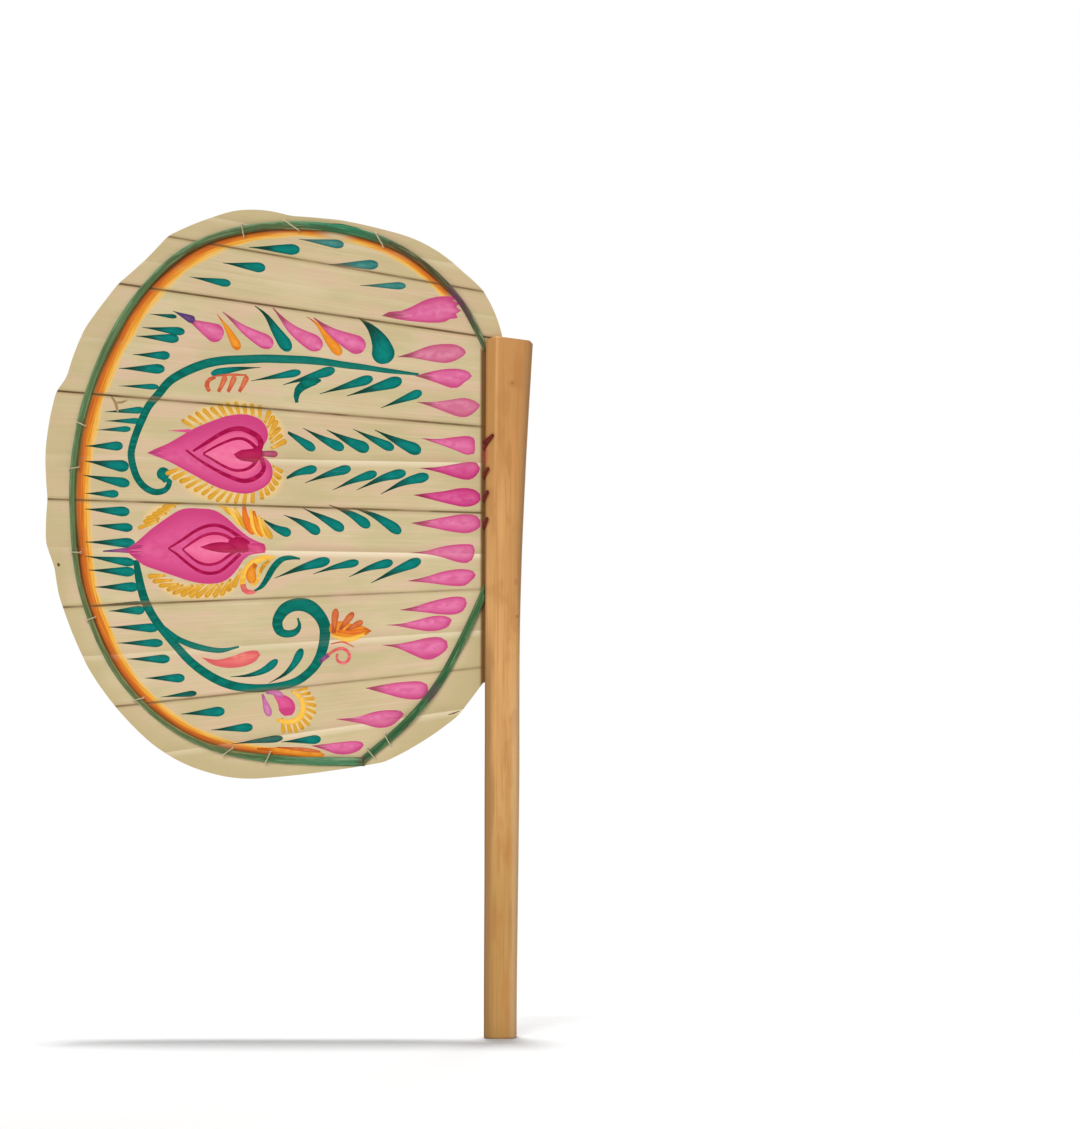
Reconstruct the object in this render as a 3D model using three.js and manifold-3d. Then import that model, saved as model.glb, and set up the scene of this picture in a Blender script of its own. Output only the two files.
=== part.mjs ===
// Side-handled palm-leaf hand fan. One pleated leaf is pushed into a saw kerf along the edge of
// a bamboo handle, lashed there with red thread, and stiffened by split-bamboo hoops that are
// sewn on, front and back, a little inside its rim.
// Millimetres. X is to the right, Y is away from the painted front and Z is up. The origin is
// the middle of the handle's flat foot.
import * as THREE from 'three';
import { mergeVertices } from 'three/addons/utils/BufferGeometryUtils.js';
import Module from 'manifold-3d';

const wasm = await Module();
wasm.setup();

// Clearance between two pieces that touch on the real fan
const CLEARANCE = 0.3;

// Handle: a solid split of bamboo, wider at the head
const HANDLE_LENGTH = 350;
const HANDLE_FOOT_WIDTH = 16.5;
const HANDLE_FOOT_THICKNESS = 11.5;
const HANDLE_HEAD_THICKNESS = 13;
const HANDLE_LEAN = 1.1;
const FOOT_TAPER = 1.35;
const FOOT_TAPER_LENGTH = 150;
const HEAD_FLARE = 6.9;
const HEAD_FLARE_LENGTH = 160;
const HEAD_FLARE_POWER = 1.5;
const HEAD_SLOPE_DROP = 2.5;
const HEAD_CORNER_CUT = 4.5;
const FACET_WIDTH_HEAD = 5;
const FACET_WIDTH_FOOT = 1.8;
const FACET_FADE_LENGTH = 110;
const FACET_DEPTH_RATIO = 0.6;
const EDGE_ROUND = 3.2;
const BACK_EDGE_ROUND = 2;
const FRONT_CROWN = 0.5;
const BACK_CROWN = 1.2;
const END_CHAMFER = 0.7;

// Kerf: the saw cut in the handle's left edge, open at the head
const KERF_LENGTH = 177.5;
const KERF_DEPTH = 10;

// Leaf: the blade is as far out as its reach, and as tall as the kerf that holds it asks
const LEAF_THICKNESS = 0.6;
const LEAF_REACH = 220;
const PLEAT_DEPTH = 1.2;
const PLEAT_SHARPNESS = 2.2;
const PLEAT_FADE = 14;
const PLEAT_FADE_STEPS = [0, 0.3, 0.6, 1];
const ARCH_STEPS = [0, 0.12, 0.3, 0.6];
const PLEAT_LEFT_IN_KERF = 0.12;
const LEAF_FLOOR_GAP = 0.5;
const TUCK_TOP_CUT = 4;
const TUCK_FOOT_CUT = 8;

// Hoops: split-bamboo strips
const HOOP_THICKNESS = 1.3;
const TAIL_WIDTH = 3.8;
const HOOP_BEVEL = 0.4;
const HOOP_STATIONS = 76;
const TAIL_STATIONS = 20;

// Threads
const STITCH_DIAMETER = 0.8;
const LASHING_DIAMETER = 1.2;
const THREAD_CORNER = 0.7;
const HOLE_SIDES = 10;
const STITCH_SIDES = 6;
const LASHING_SIDES = 8;

// The leaf's folds, rim and strips are drawn below for a blade of this reach in a kerf of this
// length. Reaches are measured from the kerf's mouth and heights from its lower end.
const DRAWN_REACH = 220;
const DRAWN_KERF = 177.5;

// Folds of the leaf, top to bottom: height at the kerf, height at the far rim, and how far the
// fold stands away from the viewer (1) or towards the viewer (-1)
const FOLDS = [
  [233, 283, 0.6],
  [222, 268, -0.5],
  [211, 253.5, 0.3],
  [200, 238.5, -0.6],
  [188.5, 224, 0.3],
  [177.5, 209.5, -1],
  [155, 180, 1],
  [132.5, 151, -1],
  [114.5, 118.5, 1],
  [89.5, 96.5, -1],
  [69, 72.5, 1],
  [51.5, 42, -1],
  [31, 16.5, 1],
  [12.5, -11, -1],
  [-7, -39, 1],
  [-27, -68, -1],
  [-47, -97, 1],
];

// Rim of the leaf, from the handle along the bottom, up the far side and back over the top:
// reach, height, and how far the cut edge bows out on its way to the next corner
const RIM = [
  [1, 4.5, 0],
  [13, -11.5, 1.5],
  [50.5, -35, 0.8],
  [110.5, -43, 1.4],
  [139, -40, 2.2],
  [170.5, -22.3, 1.7],
  [199.5, 14, 0.6],
  [212.8, 48, 0.2],
  [215, 62, 0],
  [219.5, 74, 0.4],
  [218.5, 96.5, 0.2],
  [220, 118, 1],
  [213.8, 151, -0.4],
  [208.5, 158.5, 0.7],
  [200, 182, 0.2],
  [183.3, 204, -0.7],
  [158.5, 228, 0.9],
  [126.5, 240.3, 1.8],
  [97.5, 238, 0.2],
  [71.5, 235.8, 0.3],
  [42.5, 229, 2.4],
  [10.5, 209.5, 0.2],
  [1.5, 201.5, 1.6],
];

// Centre line of the hoops, from the handle's head over the top and down to the bottom
const HOOP_PATH = [
  [-3, 166.7],
  [14.1, 197.5],
  [41.5, 221],
  [76.5, 231.9],
  [119, 231.2],
  [149.5, 220.2],
  [174.2, 196.4],
  [193.1, 162.6],
  [203.8, 126],
  [206, 90],
  [200.8, 48.4],
  [183.3, 8.8],
  [157.2, -17.2],
  [132, -28.9],
  [99, -33.8],
  [61.5, -34.7],
];

// Width of the hoop at fractions of its length: the split is finer at the head and the far side
const HOOP_WIDTHS = [
  [0, 2.8],
  [0.1, 3.1],
  [0.17, 4.1],
  [0.42, 3.8],
  [0.6, 2.8],
  [0.85, 2.9],
  [0.93, 4],
  [1, 4.4],
];

// Centre line of the short strip that closes the ring back to the handle
const TAIL_PATH = [
  [60.2, -33.3],
  [40.6, -16.3],
  [24.3, 2.8],
  [13, 22.8],
  [-1.2, 53],
];

// Stitches: place along the strip as a fraction of its length, and lean from square in degrees
const HOOP_STITCH_FRACTIONS = [
  [0.152, 20],
  [0.233, -55],
  [0.277, 0],
  [0.519, 12],
  [0.56, -15],
  [0.636, 10],
  [0.698, 0],
  [0.783, 30],
  [0.878, 40],
  [0.915, 20],
];
const TAIL_STITCH_FRACTIONS = [
  [0.04, 0],
  [0.14, 12],
];

// Lashings: drop below the head, hole to kerf mouth, and how far the thread slants down
const LASHINGS = [
  [49.5, 4.2, 6],
  [66, 2.8, 1.5],
  [77.6, 2.8, 1],
  [91, 2.8, 1],
];

// Materials
const bamboo = new THREE.MeshStandardMaterial({ color: 0xd09a5c, roughness: 0.55, metalness: 0 });
const palmLeaf = new THREE.MeshStandardMaterial({ color: 0xd8c39a, roughness: 0.7, metalness: 0 });
const greenBamboo = new THREE.MeshStandardMaterial({ color: 0x4b7d4b, roughness: 0.5, metalness: 0 });
const creamThread = new THREE.MeshStandardMaterial({ color: 0xdcd0a8, roughness: 0.9, metalness: 0 });
const redThread = new THREE.MeshStandardMaterial({ color: 0x8c1620, roughness: 0.9, metalness: 0 });

const mix = (a, b, t) => a + (b - a) * t;
const ramp = (t) => Math.min(1, Math.max(0, t));
const smooth = (t) => ramp(t) * ramp(t) * (3 - 2 * ramp(t));

// Closed body from rings of equal point count. Open lofts are capped, closed ones join up.
function loft(rings, closed = false) {
  const count = rings[0].length;
  const positions = rings.flat().flatMap((point) => [point.x, point.y, point.z]);
  const index = [];
  const spans = closed ? rings.length : rings.length - 1;
  for (let i = 0; i < spans; i += 1) {
    const here = i * count;
    const next = ((i + 1) % rings.length) * count;
    for (let j = 0; j < count; j += 1) {
      const k = (j + 1) % count;
      index.push(here + j, here + k, next + k, here + j, next + k, next + j);
    }
  }
  if (!closed) {
    const last = (rings.length - 1) * count;
    for (let j = 1; j < count - 1; j += 1) {
      index.push(0, j + 1, j, last, last + j, last + j + 1);
    }
  }
  const geometry = new THREE.BufferGeometry();
  geometry.setAttribute('position', new THREE.Float32BufferAttribute(positions, 3));
  geometry.setIndex(index);
  return geometry;
}

function toSolid(geometry) {
  const bare = geometry.clone();
  bare.deleteAttribute('normal');
  bare.deleteAttribute('uv');
  const merged = mergeVertices(bare, 1e-4);
  const vertProperties = Float32Array.from(merged.attributes.position.array);
  const triVerts = Uint32Array.from(merged.index.array);
  return new wasm.Manifold(new wasm.Mesh({ numProp: 3, vertProperties, triVerts }));
}

function toGeometry(solid) {
  const mesh = solid.getMesh();
  const geometry = new THREE.BufferGeometry();
  geometry.setAttribute('position', new THREE.Float32BufferAttribute(mesh.vertProperties, 3));
  geometry.setIndex(Array.from(mesh.triVerts));
  return geometry;
}

// A box between two corners
function boxSolid(low, high) {
  const size = new THREE.Vector3().subVectors(high, low);
  const middle = new THREE.Vector3().addVectors(low, high).multiplyScalar(0.5);
  const geometry = new THREE.BoxGeometry(size.x, size.y, size.z);
  geometry.translate(middle.x, middle.y, middle.z);
  return toSolid(geometry);
}

// A round hole's cutter, running front to back through x, z
function holeSolid(x, z, diameter, depth) {
  const geometry = new THREE.CylinderGeometry(diameter / 2, diameter / 2, depth, HOLE_SIDES);
  geometry.translate(x, 0, z);
  return toSolid(geometry);
}

// Handle edges and facets at a height
function leftEdge(z) {
  return HANDLE_LEAN * (z / HANDLE_LENGTH) - HANDLE_FOOT_WIDTH / 2;
}

function rightEdge(z) {
  const flare = ramp((z - HANDLE_LENGTH + HEAD_FLARE_LENGTH) / HEAD_FLARE_LENGTH);
  const taper = FOOT_TAPER * smooth(z / FOOT_TAPER_LENGTH);
  return HANDLE_FOOT_WIDTH / 2 + taper + HEAD_FLARE * flare ** HEAD_FLARE_POWER;
}

function thickness(z) {
  return mix(HANDLE_FOOT_THICKNESS, HANDLE_HEAD_THICKNESS, z / HANDLE_LENGTH);
}

function facetWidth(z) {
  const t = smooth((z - HANDLE_LENGTH + FACET_FADE_LENGTH) / FACET_FADE_LENGTH);
  return mix(FACET_WIDTH_FOOT, FACET_WIDTH_HEAD, t);
}

// Points on a round corner, at turns in degrees
function cornerPoints(x, y, radius, turns) {
  return turns.map((turn) => {
    const angle = THREE.MathUtils.degToRad(turn);
    return [x + radius * Math.cos(angle), y + radius * Math.sin(angle)];
  });
}

// Points across a crowned face from one x to another, whose middle stands out by the crown
function crownPoints(fromX, toX, edgeY, crown, fractions) {
  return fractions.map((t) => [mix(fromX, toX, t), edgeY + crown * (1 - (2 * t - 1) ** 2)]);
}

// Outline of the handle's section at a height, counter-clockwise from above, as x and y:
// crowned front and back, rounded edges, and a facet on the left where the leaf goes in
function handleSection(z, inset = 0) {
  const left = leftEdge(z) + inset;
  const right = rightEdge(z) - inset;
  const half = thickness(z) / 2 - inset;
  const facet = facetWidth(z);
  const front = FRONT_CROWN - half;
  const back = half - BACK_CROWN;
  const rightCentre = right - EDGE_ROUND;
  const leftCentre = left + BACK_EDGE_ROUND;
  return [
    [left, facet * FACET_DEPTH_RATIO - half],
    ...crownPoints(left + facet, rightCentre, front, -FRONT_CROWN, [0, 1 / 3, 2 / 3]),
    ...cornerPoints(rightCentre, front + EDGE_ROUND, EDGE_ROUND, [-90, -60, -30, 0]),
    ...cornerPoints(rightCentre, back - EDGE_ROUND, EDGE_ROUND, [0, 30, 60, 90]),
    ...crownPoints(rightCentre, leftCentre, back, BACK_CROWN, [1 / 3, 2 / 3]),
    ...cornerPoints(leftCentre, back - BACK_EDGE_ROUND, BACK_EDGE_ROUND, [90, 120, 150, 180]),
  ];
}

const KERF_FOOT = HANDLE_LENGTH - KERF_LENGTH;
const KERF_WIDTH = LEAF_THICKNESS + PLEAT_DEPTH * PLEAT_LEFT_IN_KERF + 2 * CLEARANCE;
const MOUTH_X = leftEdge(HANDLE_LENGTH / 2);
const KERF_FLOOR_X = MOUTH_X + KERF_DEPTH;
const LEAF_TUCK = KERF_DEPTH - LEAF_FLOOR_GAP;
const LASHING_HOLE = LASHING_DIAMETER + 2 * CLEARANCE;
const STITCH_HOLE = STITCH_DIAMETER + 2 * CLEARANCE;

// Depths, front to back, of what lies on each face of the leaf
const LEAF_FACE = (PLEAT_DEPTH + LEAF_THICKNESS) / 2;
const HOOP_INNER = LEAF_FACE + CLEARANCE;
const HOOP_OUTER = HOOP_INNER + HOOP_THICKNESS;
const STITCH_RUN = HOOP_OUTER + CLEARANCE + STITCH_DIAMETER / 2;

// From a drawn reach and height on the leaf to x and z
const leafX = (reach) => MOUTH_X - reach * (LEAF_REACH / DRAWN_REACH);
const leafZ = (height) => KERF_FOOT + height * (KERF_LENGTH / DRAWN_KERF);

// Where each lashing pierces the handle and the leaf
const lashings = LASHINGS.map(([drop, inset, slant]) => {
  const holeZ = HANDLE_LENGTH - drop;
  const holeX = leftEdge(holeZ) + inset;
  const leafHoleX = leftEdge(holeZ) - CLEARANCE - LASHING_DIAMETER / 2;
  return { holeX, holeZ, leafHoleX, leafHoleZ: holeZ - slant };
});

function makeHandle() {
  const stations = [0, END_CHAMFER];
  const spans = 18;
  for (let i = 1; i < spans; i += 1) {
    stations.push((i * HANDLE_LENGTH) / spans);
  }
  stations.push(HANDLE_LENGTH - END_CHAMFER, HANDLE_LENGTH);
  const rings = stations.map((z) => {
    const inset = z === 0 || z === HANDLE_LENGTH ? END_CHAMFER : 0;
    return handleSection(z, inset).map(([x, y]) => new THREE.Vector3(x, y, z));
  });
  let solid = toSolid(loft(rings));

  const reach = HANDLE_FOOT_WIDTH + HEAD_FLARE;
  const kerfLow = new THREE.Vector3(MOUTH_X - reach, -KERF_WIDTH / 2, KERF_FOOT);
  const kerfHigh = new THREE.Vector3(KERF_FLOOR_X, KERF_WIDTH / 2, HANDLE_LENGTH + reach);
  solid = solid.subtract(boxSolid(kerfLow, kerfHigh));

  // The head is sawn slightly out of square, and its left corner is pared away
  const headLeft = leftEdge(HANDLE_LENGTH);
  const headPeakX = headLeft + HEAD_CORNER_CUT;
  const slope = Math.atan2(HEAD_SLOPE_DROP, rightEdge(HANDLE_LENGTH) - headPeakX);
  const slopeCut = new THREE.BoxGeometry(4 * reach, 4 * reach, reach);
  slopeCut.translate(0, 0, reach / 2);
  slopeCut.rotateY(slope);
  slopeCut.translate(headPeakX, 0, HANDLE_LENGTH);
  solid = solid.subtract(toSolid(slopeCut));
  const cornerCut = new THREE.BoxGeometry(4 * reach, 4 * reach, reach);
  cornerCut.translate(0, 0, reach / 2);
  cornerCut.rotateY(-Math.PI / 4);
  cornerCut.translate(headPeakX, 0, HANDLE_LENGTH);
  solid = solid.subtract(toSolid(cornerCut));

  for (const lashing of lashings) {
    const depth = 2 * HANDLE_HEAD_THICKNESS;
    solid = solid.subtract(holeSolid(lashing.holeX, lashing.holeZ, LASHING_HOLE, depth));
  }
  return toGeometry(solid);
}

// Middle depth of the pleated sheet. Between a fold away from the viewer and one towards the
// viewer the sheet leaves the far fold steeply and arrives flat, so each leaflet is an arch.
function foldHeight(fold, reach) {
  return mix(fold[0], fold[1], reach / LEAF_REACH);
}

function pleatFade(reach) {
  return mix(PLEAT_LEFT_IN_KERF, 1, smooth(reach / PLEAT_FADE));
}

function pleatBetween(upper, lower, t) {
  const upperIsFar = upper[2] > lower[2];
  const far = upperIsFar ? upper[2] : lower[2];
  const near = upperIsFar ? lower[2] : upper[2];
  const fromFar = upperIsFar ? t : 1 - t;
  return mix(far, near, 1 - (1 - fromFar) ** PLEAT_SHARPNESS);
}

// The whole pleated sheet, wider than the leaf on both sides and still untrimmed
function leafSheet() {
  const fades = PLEAT_FADE_STEPS.map((step) => PLEAT_FADE * step);
  const columns = [-2 * KERF_DEPTH, ...fades, LEAF_REACH + 2 * KERF_DEPTH];
  const rows = [];
  for (let i = 0; i < FOLDS.length - 1; i += 1) {
    const upperIsFar = FOLDS[i][2] > FOLDS[i + 1][2];
    const steps = upperIsFar ? ARCH_STEPS : ARCH_STEPS.slice(1).map((t) => 1 - t).reverse();
    for (const t of upperIsFar ? steps : [0, ...steps]) {
      rows.push([FOLDS[i], FOLDS[i + 1], t]);
    }
  }
  const last = FOLDS.length - 1;
  rows.push([FOLDS[last - 1], FOLDS[last], 1]);

  const rings = columns.map((reach) => {
    const near = [];
    const far = [];
    for (const [upper, lower, t] of rows) {
      const height = mix(foldHeight(upper, reach), foldHeight(lower, reach), t);
      const middle = (PLEAT_DEPTH / 2) * pleatFade(reach) * pleatBetween(upper, lower, t);
      const x = MOUTH_X - reach;
      near.push(new THREE.Vector3(x, middle - LEAF_THICKNESS / 2, leafZ(height)));
      far.push(new THREE.Vector3(x, middle + LEAF_THICKNESS / 2, leafZ(height)));
    }
    return [...far, ...near.reverse()];
  });
  return stripLoft(rings);
}

// A loft whose ring is a long thin ribbon, so its end caps are made of crosswise strips
function stripLoft(rings) {
  const count = rings[0].length;
  const geometry = loft(rings);
  const index = Array.from(geometry.index.array);
  const capTriangles = 2 * (count - 2);
  index.length -= 3 * capTriangles;
  const last = (rings.length - 1) * count;
  for (let j = 0; j < count / 2 - 1; j += 1) {
    const a = j;
    const b = j + 1;
    const c = count - 2 - j;
    const d = count - 1 - j;
    index.push(a, c, b, a, d, c);
    index.push(last + a, last + b, last + c, last + a, last + c, last + d);
  }
  geometry.setIndex(index);
  return geometry;
}

// The trimmed rim, with the part that is tucked into the kerf
function rimShape() {
  const tuckX = MOUTH_X + LEAF_TUCK;
  const corners = RIM.map(([reach, height]) => new THREE.Vector2(leafX(reach), leafZ(height)));
  corners.push(new THREE.Vector2(tuckX, HANDLE_LENGTH - TUCK_TOP_CUT));
  const shape = new THREE.Shape();
  shape.moveTo(corners[0].x, corners[0].y);
  RIM.forEach(([, , bow], i) => {
    const from = corners[i];
    const to = corners[i + 1];
    const along = new THREE.Vector2().subVectors(to, from).normalize();
    const control = new THREE.Vector2().addVectors(from, to).multiplyScalar(0.5);
    control.x -= 2 * bow * along.y;
    control.y += 2 * bow * along.x;
    shape.quadraticCurveTo(control.x, control.y, to.x, to.y);
  });
  shape.lineTo(tuckX, KERF_FOOT + TUCK_FOOT_CUT);
  return shape;
}

function makeLeaf(stitches) {
  const depth = 4 * PLEAT_DEPTH + 4 * LEAF_THICKNESS;
  const prism = new THREE.ExtrudeGeometry(rimShape(), { depth, bevelEnabled: false, curveSegments: 4 });
  prism.rotateX(Math.PI / 2);
  prism.translate(0, depth / 2, 0);
  let solid = toSolid(leafSheet()).intersect(toSolid(prism));
  for (const stitch of stitches) {
    for (const side of [-1, 1]) {
      const x = stitch.centre.x + side * stitch.reach * stitch.across.x;
      const z = stitch.centre.z + side * stitch.reach * stitch.across.z;
      solid = solid.subtract(holeSolid(x, z, STITCH_HOLE, depth));
    }
  }
  for (const lashing of lashings) {
    solid = solid.subtract(holeSolid(lashing.holeX, lashing.holeZ, LASHING_HOLE, depth));
    solid = solid.subtract(holeSolid(lashing.leafHoleX, lashing.leafHoleZ, LASHING_HOLE, depth));
  }
  return toGeometry(solid);
}

// Strips that follow a path on the leaf
function stripCurve(path) {
  const points = path.map(([reach, height]) => new THREE.Vector3(leafX(reach), 0, leafZ(height)));
  return new THREE.CatmullRomCurve3(points, false, 'centripetal');
}

const hoopCurve = stripCurve(HOOP_PATH);
const tailCurve = stripCurve(TAIL_PATH);
const tailWidth = () => TAIL_WIDTH;

function hoopWidth(fraction) {
  const after = Math.max(1, HOOP_WIDTHS.findIndex(([end]) => end >= fraction));
  const [start, startWidth] = HOOP_WIDTHS[after - 1];
  const [end, endWidth] = HOOP_WIDTHS[after];
  return mix(startWidth, endWidth, smooth((fraction - start) / (end - start)));
}

// One strip. side is -1 on the front and 1 on the back. The skin side, away from the leaf, is
// bevelled, and the end that meets the handle is trimmed to it.
function makeStrip(curve, widthAt, stations, side) {
  const inner = side * HOOP_INNER;
  const outer = side * HOOP_OUTER;
  const bevelled = side * (HOOP_OUTER - HOOP_BEVEL);
  const rings = [];
  for (let i = 0; i <= stations; i += 1) {
    const centre = curve.getPointAt(i / stations);
    const tangent = curve.getTangentAt(i / stations);
    const across = new THREE.Vector3(-tangent.z, 0, tangent.x);
    const half = widthAt(i / stations) / 2;
    const section = [
      [-half, inner],
      [half, inner],
      [half, bevelled],
      [half - HOOP_BEVEL, outer],
      [HOOP_BEVEL - half, outer],
      [-half, bevelled],
    ];
    if (side > 0) section.reverse();
    rings.push(section.map(([offset, y]) => (
      new THREE.Vector3(centre.x + offset * across.x, y, centre.z + offset * across.z)
    )));
  }
  const trimLow = new THREE.Vector3(MOUTH_X - CLEARANCE, -HANDLE_HEAD_THICKNESS, 0);
  const trimHigh = new THREE.Vector3(HANDLE_FOOT_WIDTH, HANDLE_HEAD_THICKNESS, 2 * HANDLE_LENGTH);
  return toGeometry(toSolid(loft(rings)).subtract(boxSolid(trimLow, trimHigh)));
}

// Places of the stitches along a strip
function stitchPlaces(curve, widthAt, list) {
  return list.map(([fraction, lean]) => {
    const centre = curve.getPointAt(fraction);
    const tangent = curve.getTangentAt(fraction);
    const angle = THREE.MathUtils.degToRad(lean);
    const square = new THREE.Vector3(-tangent.z, 0, tangent.x);
    const across = square.multiplyScalar(Math.cos(angle)).addScaledVector(tangent, Math.sin(angle));
    const halfWidth = widthAt(fraction) / 2 / Math.cos(angle);
    return { centre, across, reach: halfWidth + CLEARANCE + STITCH_HOLE / 2 };
  });
}

// Closed path through corners, each corner rounded by a short quadratic
function roundedLoop(corners, radius, steps) {
  const path = [];
  corners.forEach((corner, i) => {
    const before = corners[(i + corners.length - 1) % corners.length];
    const after = corners[(i + 1) % corners.length];
    const pullIn = Math.min(radius, corner.distanceTo(before) / 3, corner.distanceTo(after) / 3);
    const start = corner.clone().lerp(before, pullIn / corner.distanceTo(before));
    const end = corner.clone().lerp(after, pullIn / corner.distanceTo(after));
    const bend = new THREE.QuadraticBezierCurve3(start, corner, end);
    path.push(...bend.getPoints(steps));
  });
  return path;
}

// Thread of a diameter along a flat closed path
function threadLoop(path, diameter, sides) {
  const edgeA = path[1].clone().sub(path[0]);
  const edgeB = path[Math.floor(path.length / 3)].clone().sub(path[0]);
  const planeNormal = edgeA.cross(edgeB).normalize();
  const rings = path.map((point, i) => {
    const before = path[(i + path.length - 1) % path.length];
    const after = path[(i + 1) % path.length];
    const tangent = after.clone().sub(before).normalize();
    const outward = new THREE.Vector3().crossVectors(planeNormal, tangent).normalize();
    const ring = [];
    for (let j = 0; j < sides; j += 1) {
      const angle = (2 * Math.PI * j) / sides;
      const offset = outward.clone().multiplyScalar(Math.cos(angle) * (diameter / 2));
      offset.addScaledVector(planeNormal, Math.sin(angle) * (diameter / 2));
      ring.push(point.clone().add(offset));
    }
    return ring;
  });
  return loft(rings, true);
}

// A stitch: over the front strip, through the leaf, under the back strip and back again
function makeStitch({ centre, across, reach }) {
  const corner = (along, y) => centre.clone().addScaledVector(across, along).setY(y);
  const corners = [
    corner(-reach, -STITCH_RUN),
    corner(reach, -STITCH_RUN),
    corner(reach, STITCH_RUN),
    corner(-reach, STITCH_RUN),
  ];
  return threadLoop(roundedLoop(corners, THREAD_CORNER, 3), STITCH_DIAMETER, STITCH_SIDES);
}

// Corners of a path at a distance outside an outline, at its mitred corners
function offsetOutline(outline, distance) {
  return outline.map(([x, y], i) => {
    const [bx, by] = outline[(i + outline.length - 1) % outline.length];
    const [ax, ay] = outline[(i + 1) % outline.length];
    const inEdge = new THREE.Vector2(x - bx, y - by).normalize();
    const outEdge = new THREE.Vector2(ax - x, ay - y).normalize();
    const inNormal = new THREE.Vector2(inEdge.y, -inEdge.x);
    const outNormal = new THREE.Vector2(outEdge.y, -outEdge.x);
    const mitre = inNormal.clone().add(outNormal);
    mitre.multiplyScalar(distance / (1 + inNormal.dot(outNormal)));
    return [x + mitre.x, y + mitre.y];
  });
}

// A lashing: out of the hole in the handle's lips, round the left edge and through the leaf
function makeLashing({ holeX, holeZ, leafHoleX, leafHoleZ }) {
  const distance = CLEARANCE + LASHING_DIAMETER / 2;
  const half = thickness(holeZ) / 2;
  const outline = offsetOutline(handleSection(holeZ), distance);
  const around = outline.filter(([x]) => x < holeX - THREAD_CORNER);
  const backToFront = around.sort((a, b) => b[1] - a[1]);
  const backEnd = [holeX, half - BACK_CROWN / 2 + distance];
  const frontEnd = [holeX, FRONT_CROWN / 2 - half - distance];
  const flat = [backEnd, ...backToFront, frontEnd];
  const slope = (holeZ - leafHoleZ) / (holeX - leafHoleX);
  const corners = flat.map(([x, y]) => new THREE.Vector3(x, y, holeZ - (holeX - x) * slope));
  return threadLoop(roundedLoop(corners, THREAD_CORNER, 2), LASHING_DIAMETER, LASHING_SIDES);
}

const fan = new THREE.Group();

function add(name, geometry, material) {
  const mesh = new THREE.Mesh(geometry, material);
  mesh.name = name;
  fan.add(mesh);
}

const hoopStitches = stitchPlaces(hoopCurve, hoopWidth, HOOP_STITCH_FRACTIONS);
const tailStitches = stitchPlaces(tailCurve, tailWidth, TAIL_STITCH_FRACTIONS);
const stitches = [...hoopStitches, ...tailStitches];

add('bamboo_handle', makeHandle(), bamboo);
add('leaf_blade', makeLeaf(stitches), palmLeaf);
add('front_hoop', makeStrip(hoopCurve, hoopWidth, HOOP_STATIONS, -1), greenBamboo);
add('front_hoop_tail', makeStrip(tailCurve, tailWidth, TAIL_STATIONS, -1), greenBamboo);
add('back_hoop', makeStrip(hoopCurve, hoopWidth, HOOP_STATIONS, 1), greenBamboo);
add('back_hoop_tail', makeStrip(tailCurve, tailWidth, TAIL_STATIONS, 1), greenBamboo);
stitches.forEach((place, i) => {
  add(`rim_stitch_${String(i + 1).padStart(2, '0')}`, makeStitch(place), creamThread);
});
lashings.forEach((place, i) => {
  add(`handle_lashing_${i + 1}`, makeLashing(place), redThread);
});

export default fan;
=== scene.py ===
# Looks of a side-handled palm-leaf hand fan: a painted, pleated leaf held in the kerf of a bamboo
# handle, stiffened by green split-bamboo hoops that are sewn through it.
# Shapes are worked out in millimetres and scaled when a mesh is made. X is to the right, Y away
# from the painted front, Z up. A place on the leaf is its reach from the kerf's mouth and its
# height above the kerf's foot.
import bisect
import math
import random

import bmesh
import bpy
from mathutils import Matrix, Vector, geometry, noise


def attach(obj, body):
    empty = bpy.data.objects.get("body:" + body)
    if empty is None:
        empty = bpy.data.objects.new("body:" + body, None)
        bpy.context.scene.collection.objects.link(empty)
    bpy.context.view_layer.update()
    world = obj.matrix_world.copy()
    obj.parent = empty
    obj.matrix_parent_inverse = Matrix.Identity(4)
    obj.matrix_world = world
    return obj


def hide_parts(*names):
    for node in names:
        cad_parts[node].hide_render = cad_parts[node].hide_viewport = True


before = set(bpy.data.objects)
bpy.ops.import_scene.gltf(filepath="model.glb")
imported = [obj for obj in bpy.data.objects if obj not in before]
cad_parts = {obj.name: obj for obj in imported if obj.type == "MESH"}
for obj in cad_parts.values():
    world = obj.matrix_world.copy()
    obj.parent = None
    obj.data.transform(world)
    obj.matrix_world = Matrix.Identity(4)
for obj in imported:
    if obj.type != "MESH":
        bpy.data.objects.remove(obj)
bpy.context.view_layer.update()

MM = 0.001

# Handle, as in the solids
HANDLE_LENGTH = 350
FOOT_WIDTH = 16.5
FOOT_THICKNESS = 11.5
HEAD_THICKNESS = 13
HANDLE_LEAN = 1.1
FOOT_TAPER = 1.35
FOOT_TAPER_LENGTH = 150
HEAD_FLARE = 6.9
HEAD_FLARE_LENGTH = 160
HEAD_FLARE_POWER = 1.5
HEAD_DROP = 2.5
HEAD_CORNER_CUT = 4.5
FACET_HEAD = 5
FACET_FOOT = 1.8
FACET_FADE = 110
FACET_DEPTH_RATIO = 0.6
EDGE_ROUND = 3.2
BACK_EDGE_ROUND = 2
FRONT_CROWN = 0.5
BACK_CROWN = 1.2
END_CHAMFER = 0.7

# The head's top corners as they show: the left one flatter, and the right one cut
HEAD_CORNER_SLOPE = 0.4
HEAD_RIGHT_CUT = 1.6

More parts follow.
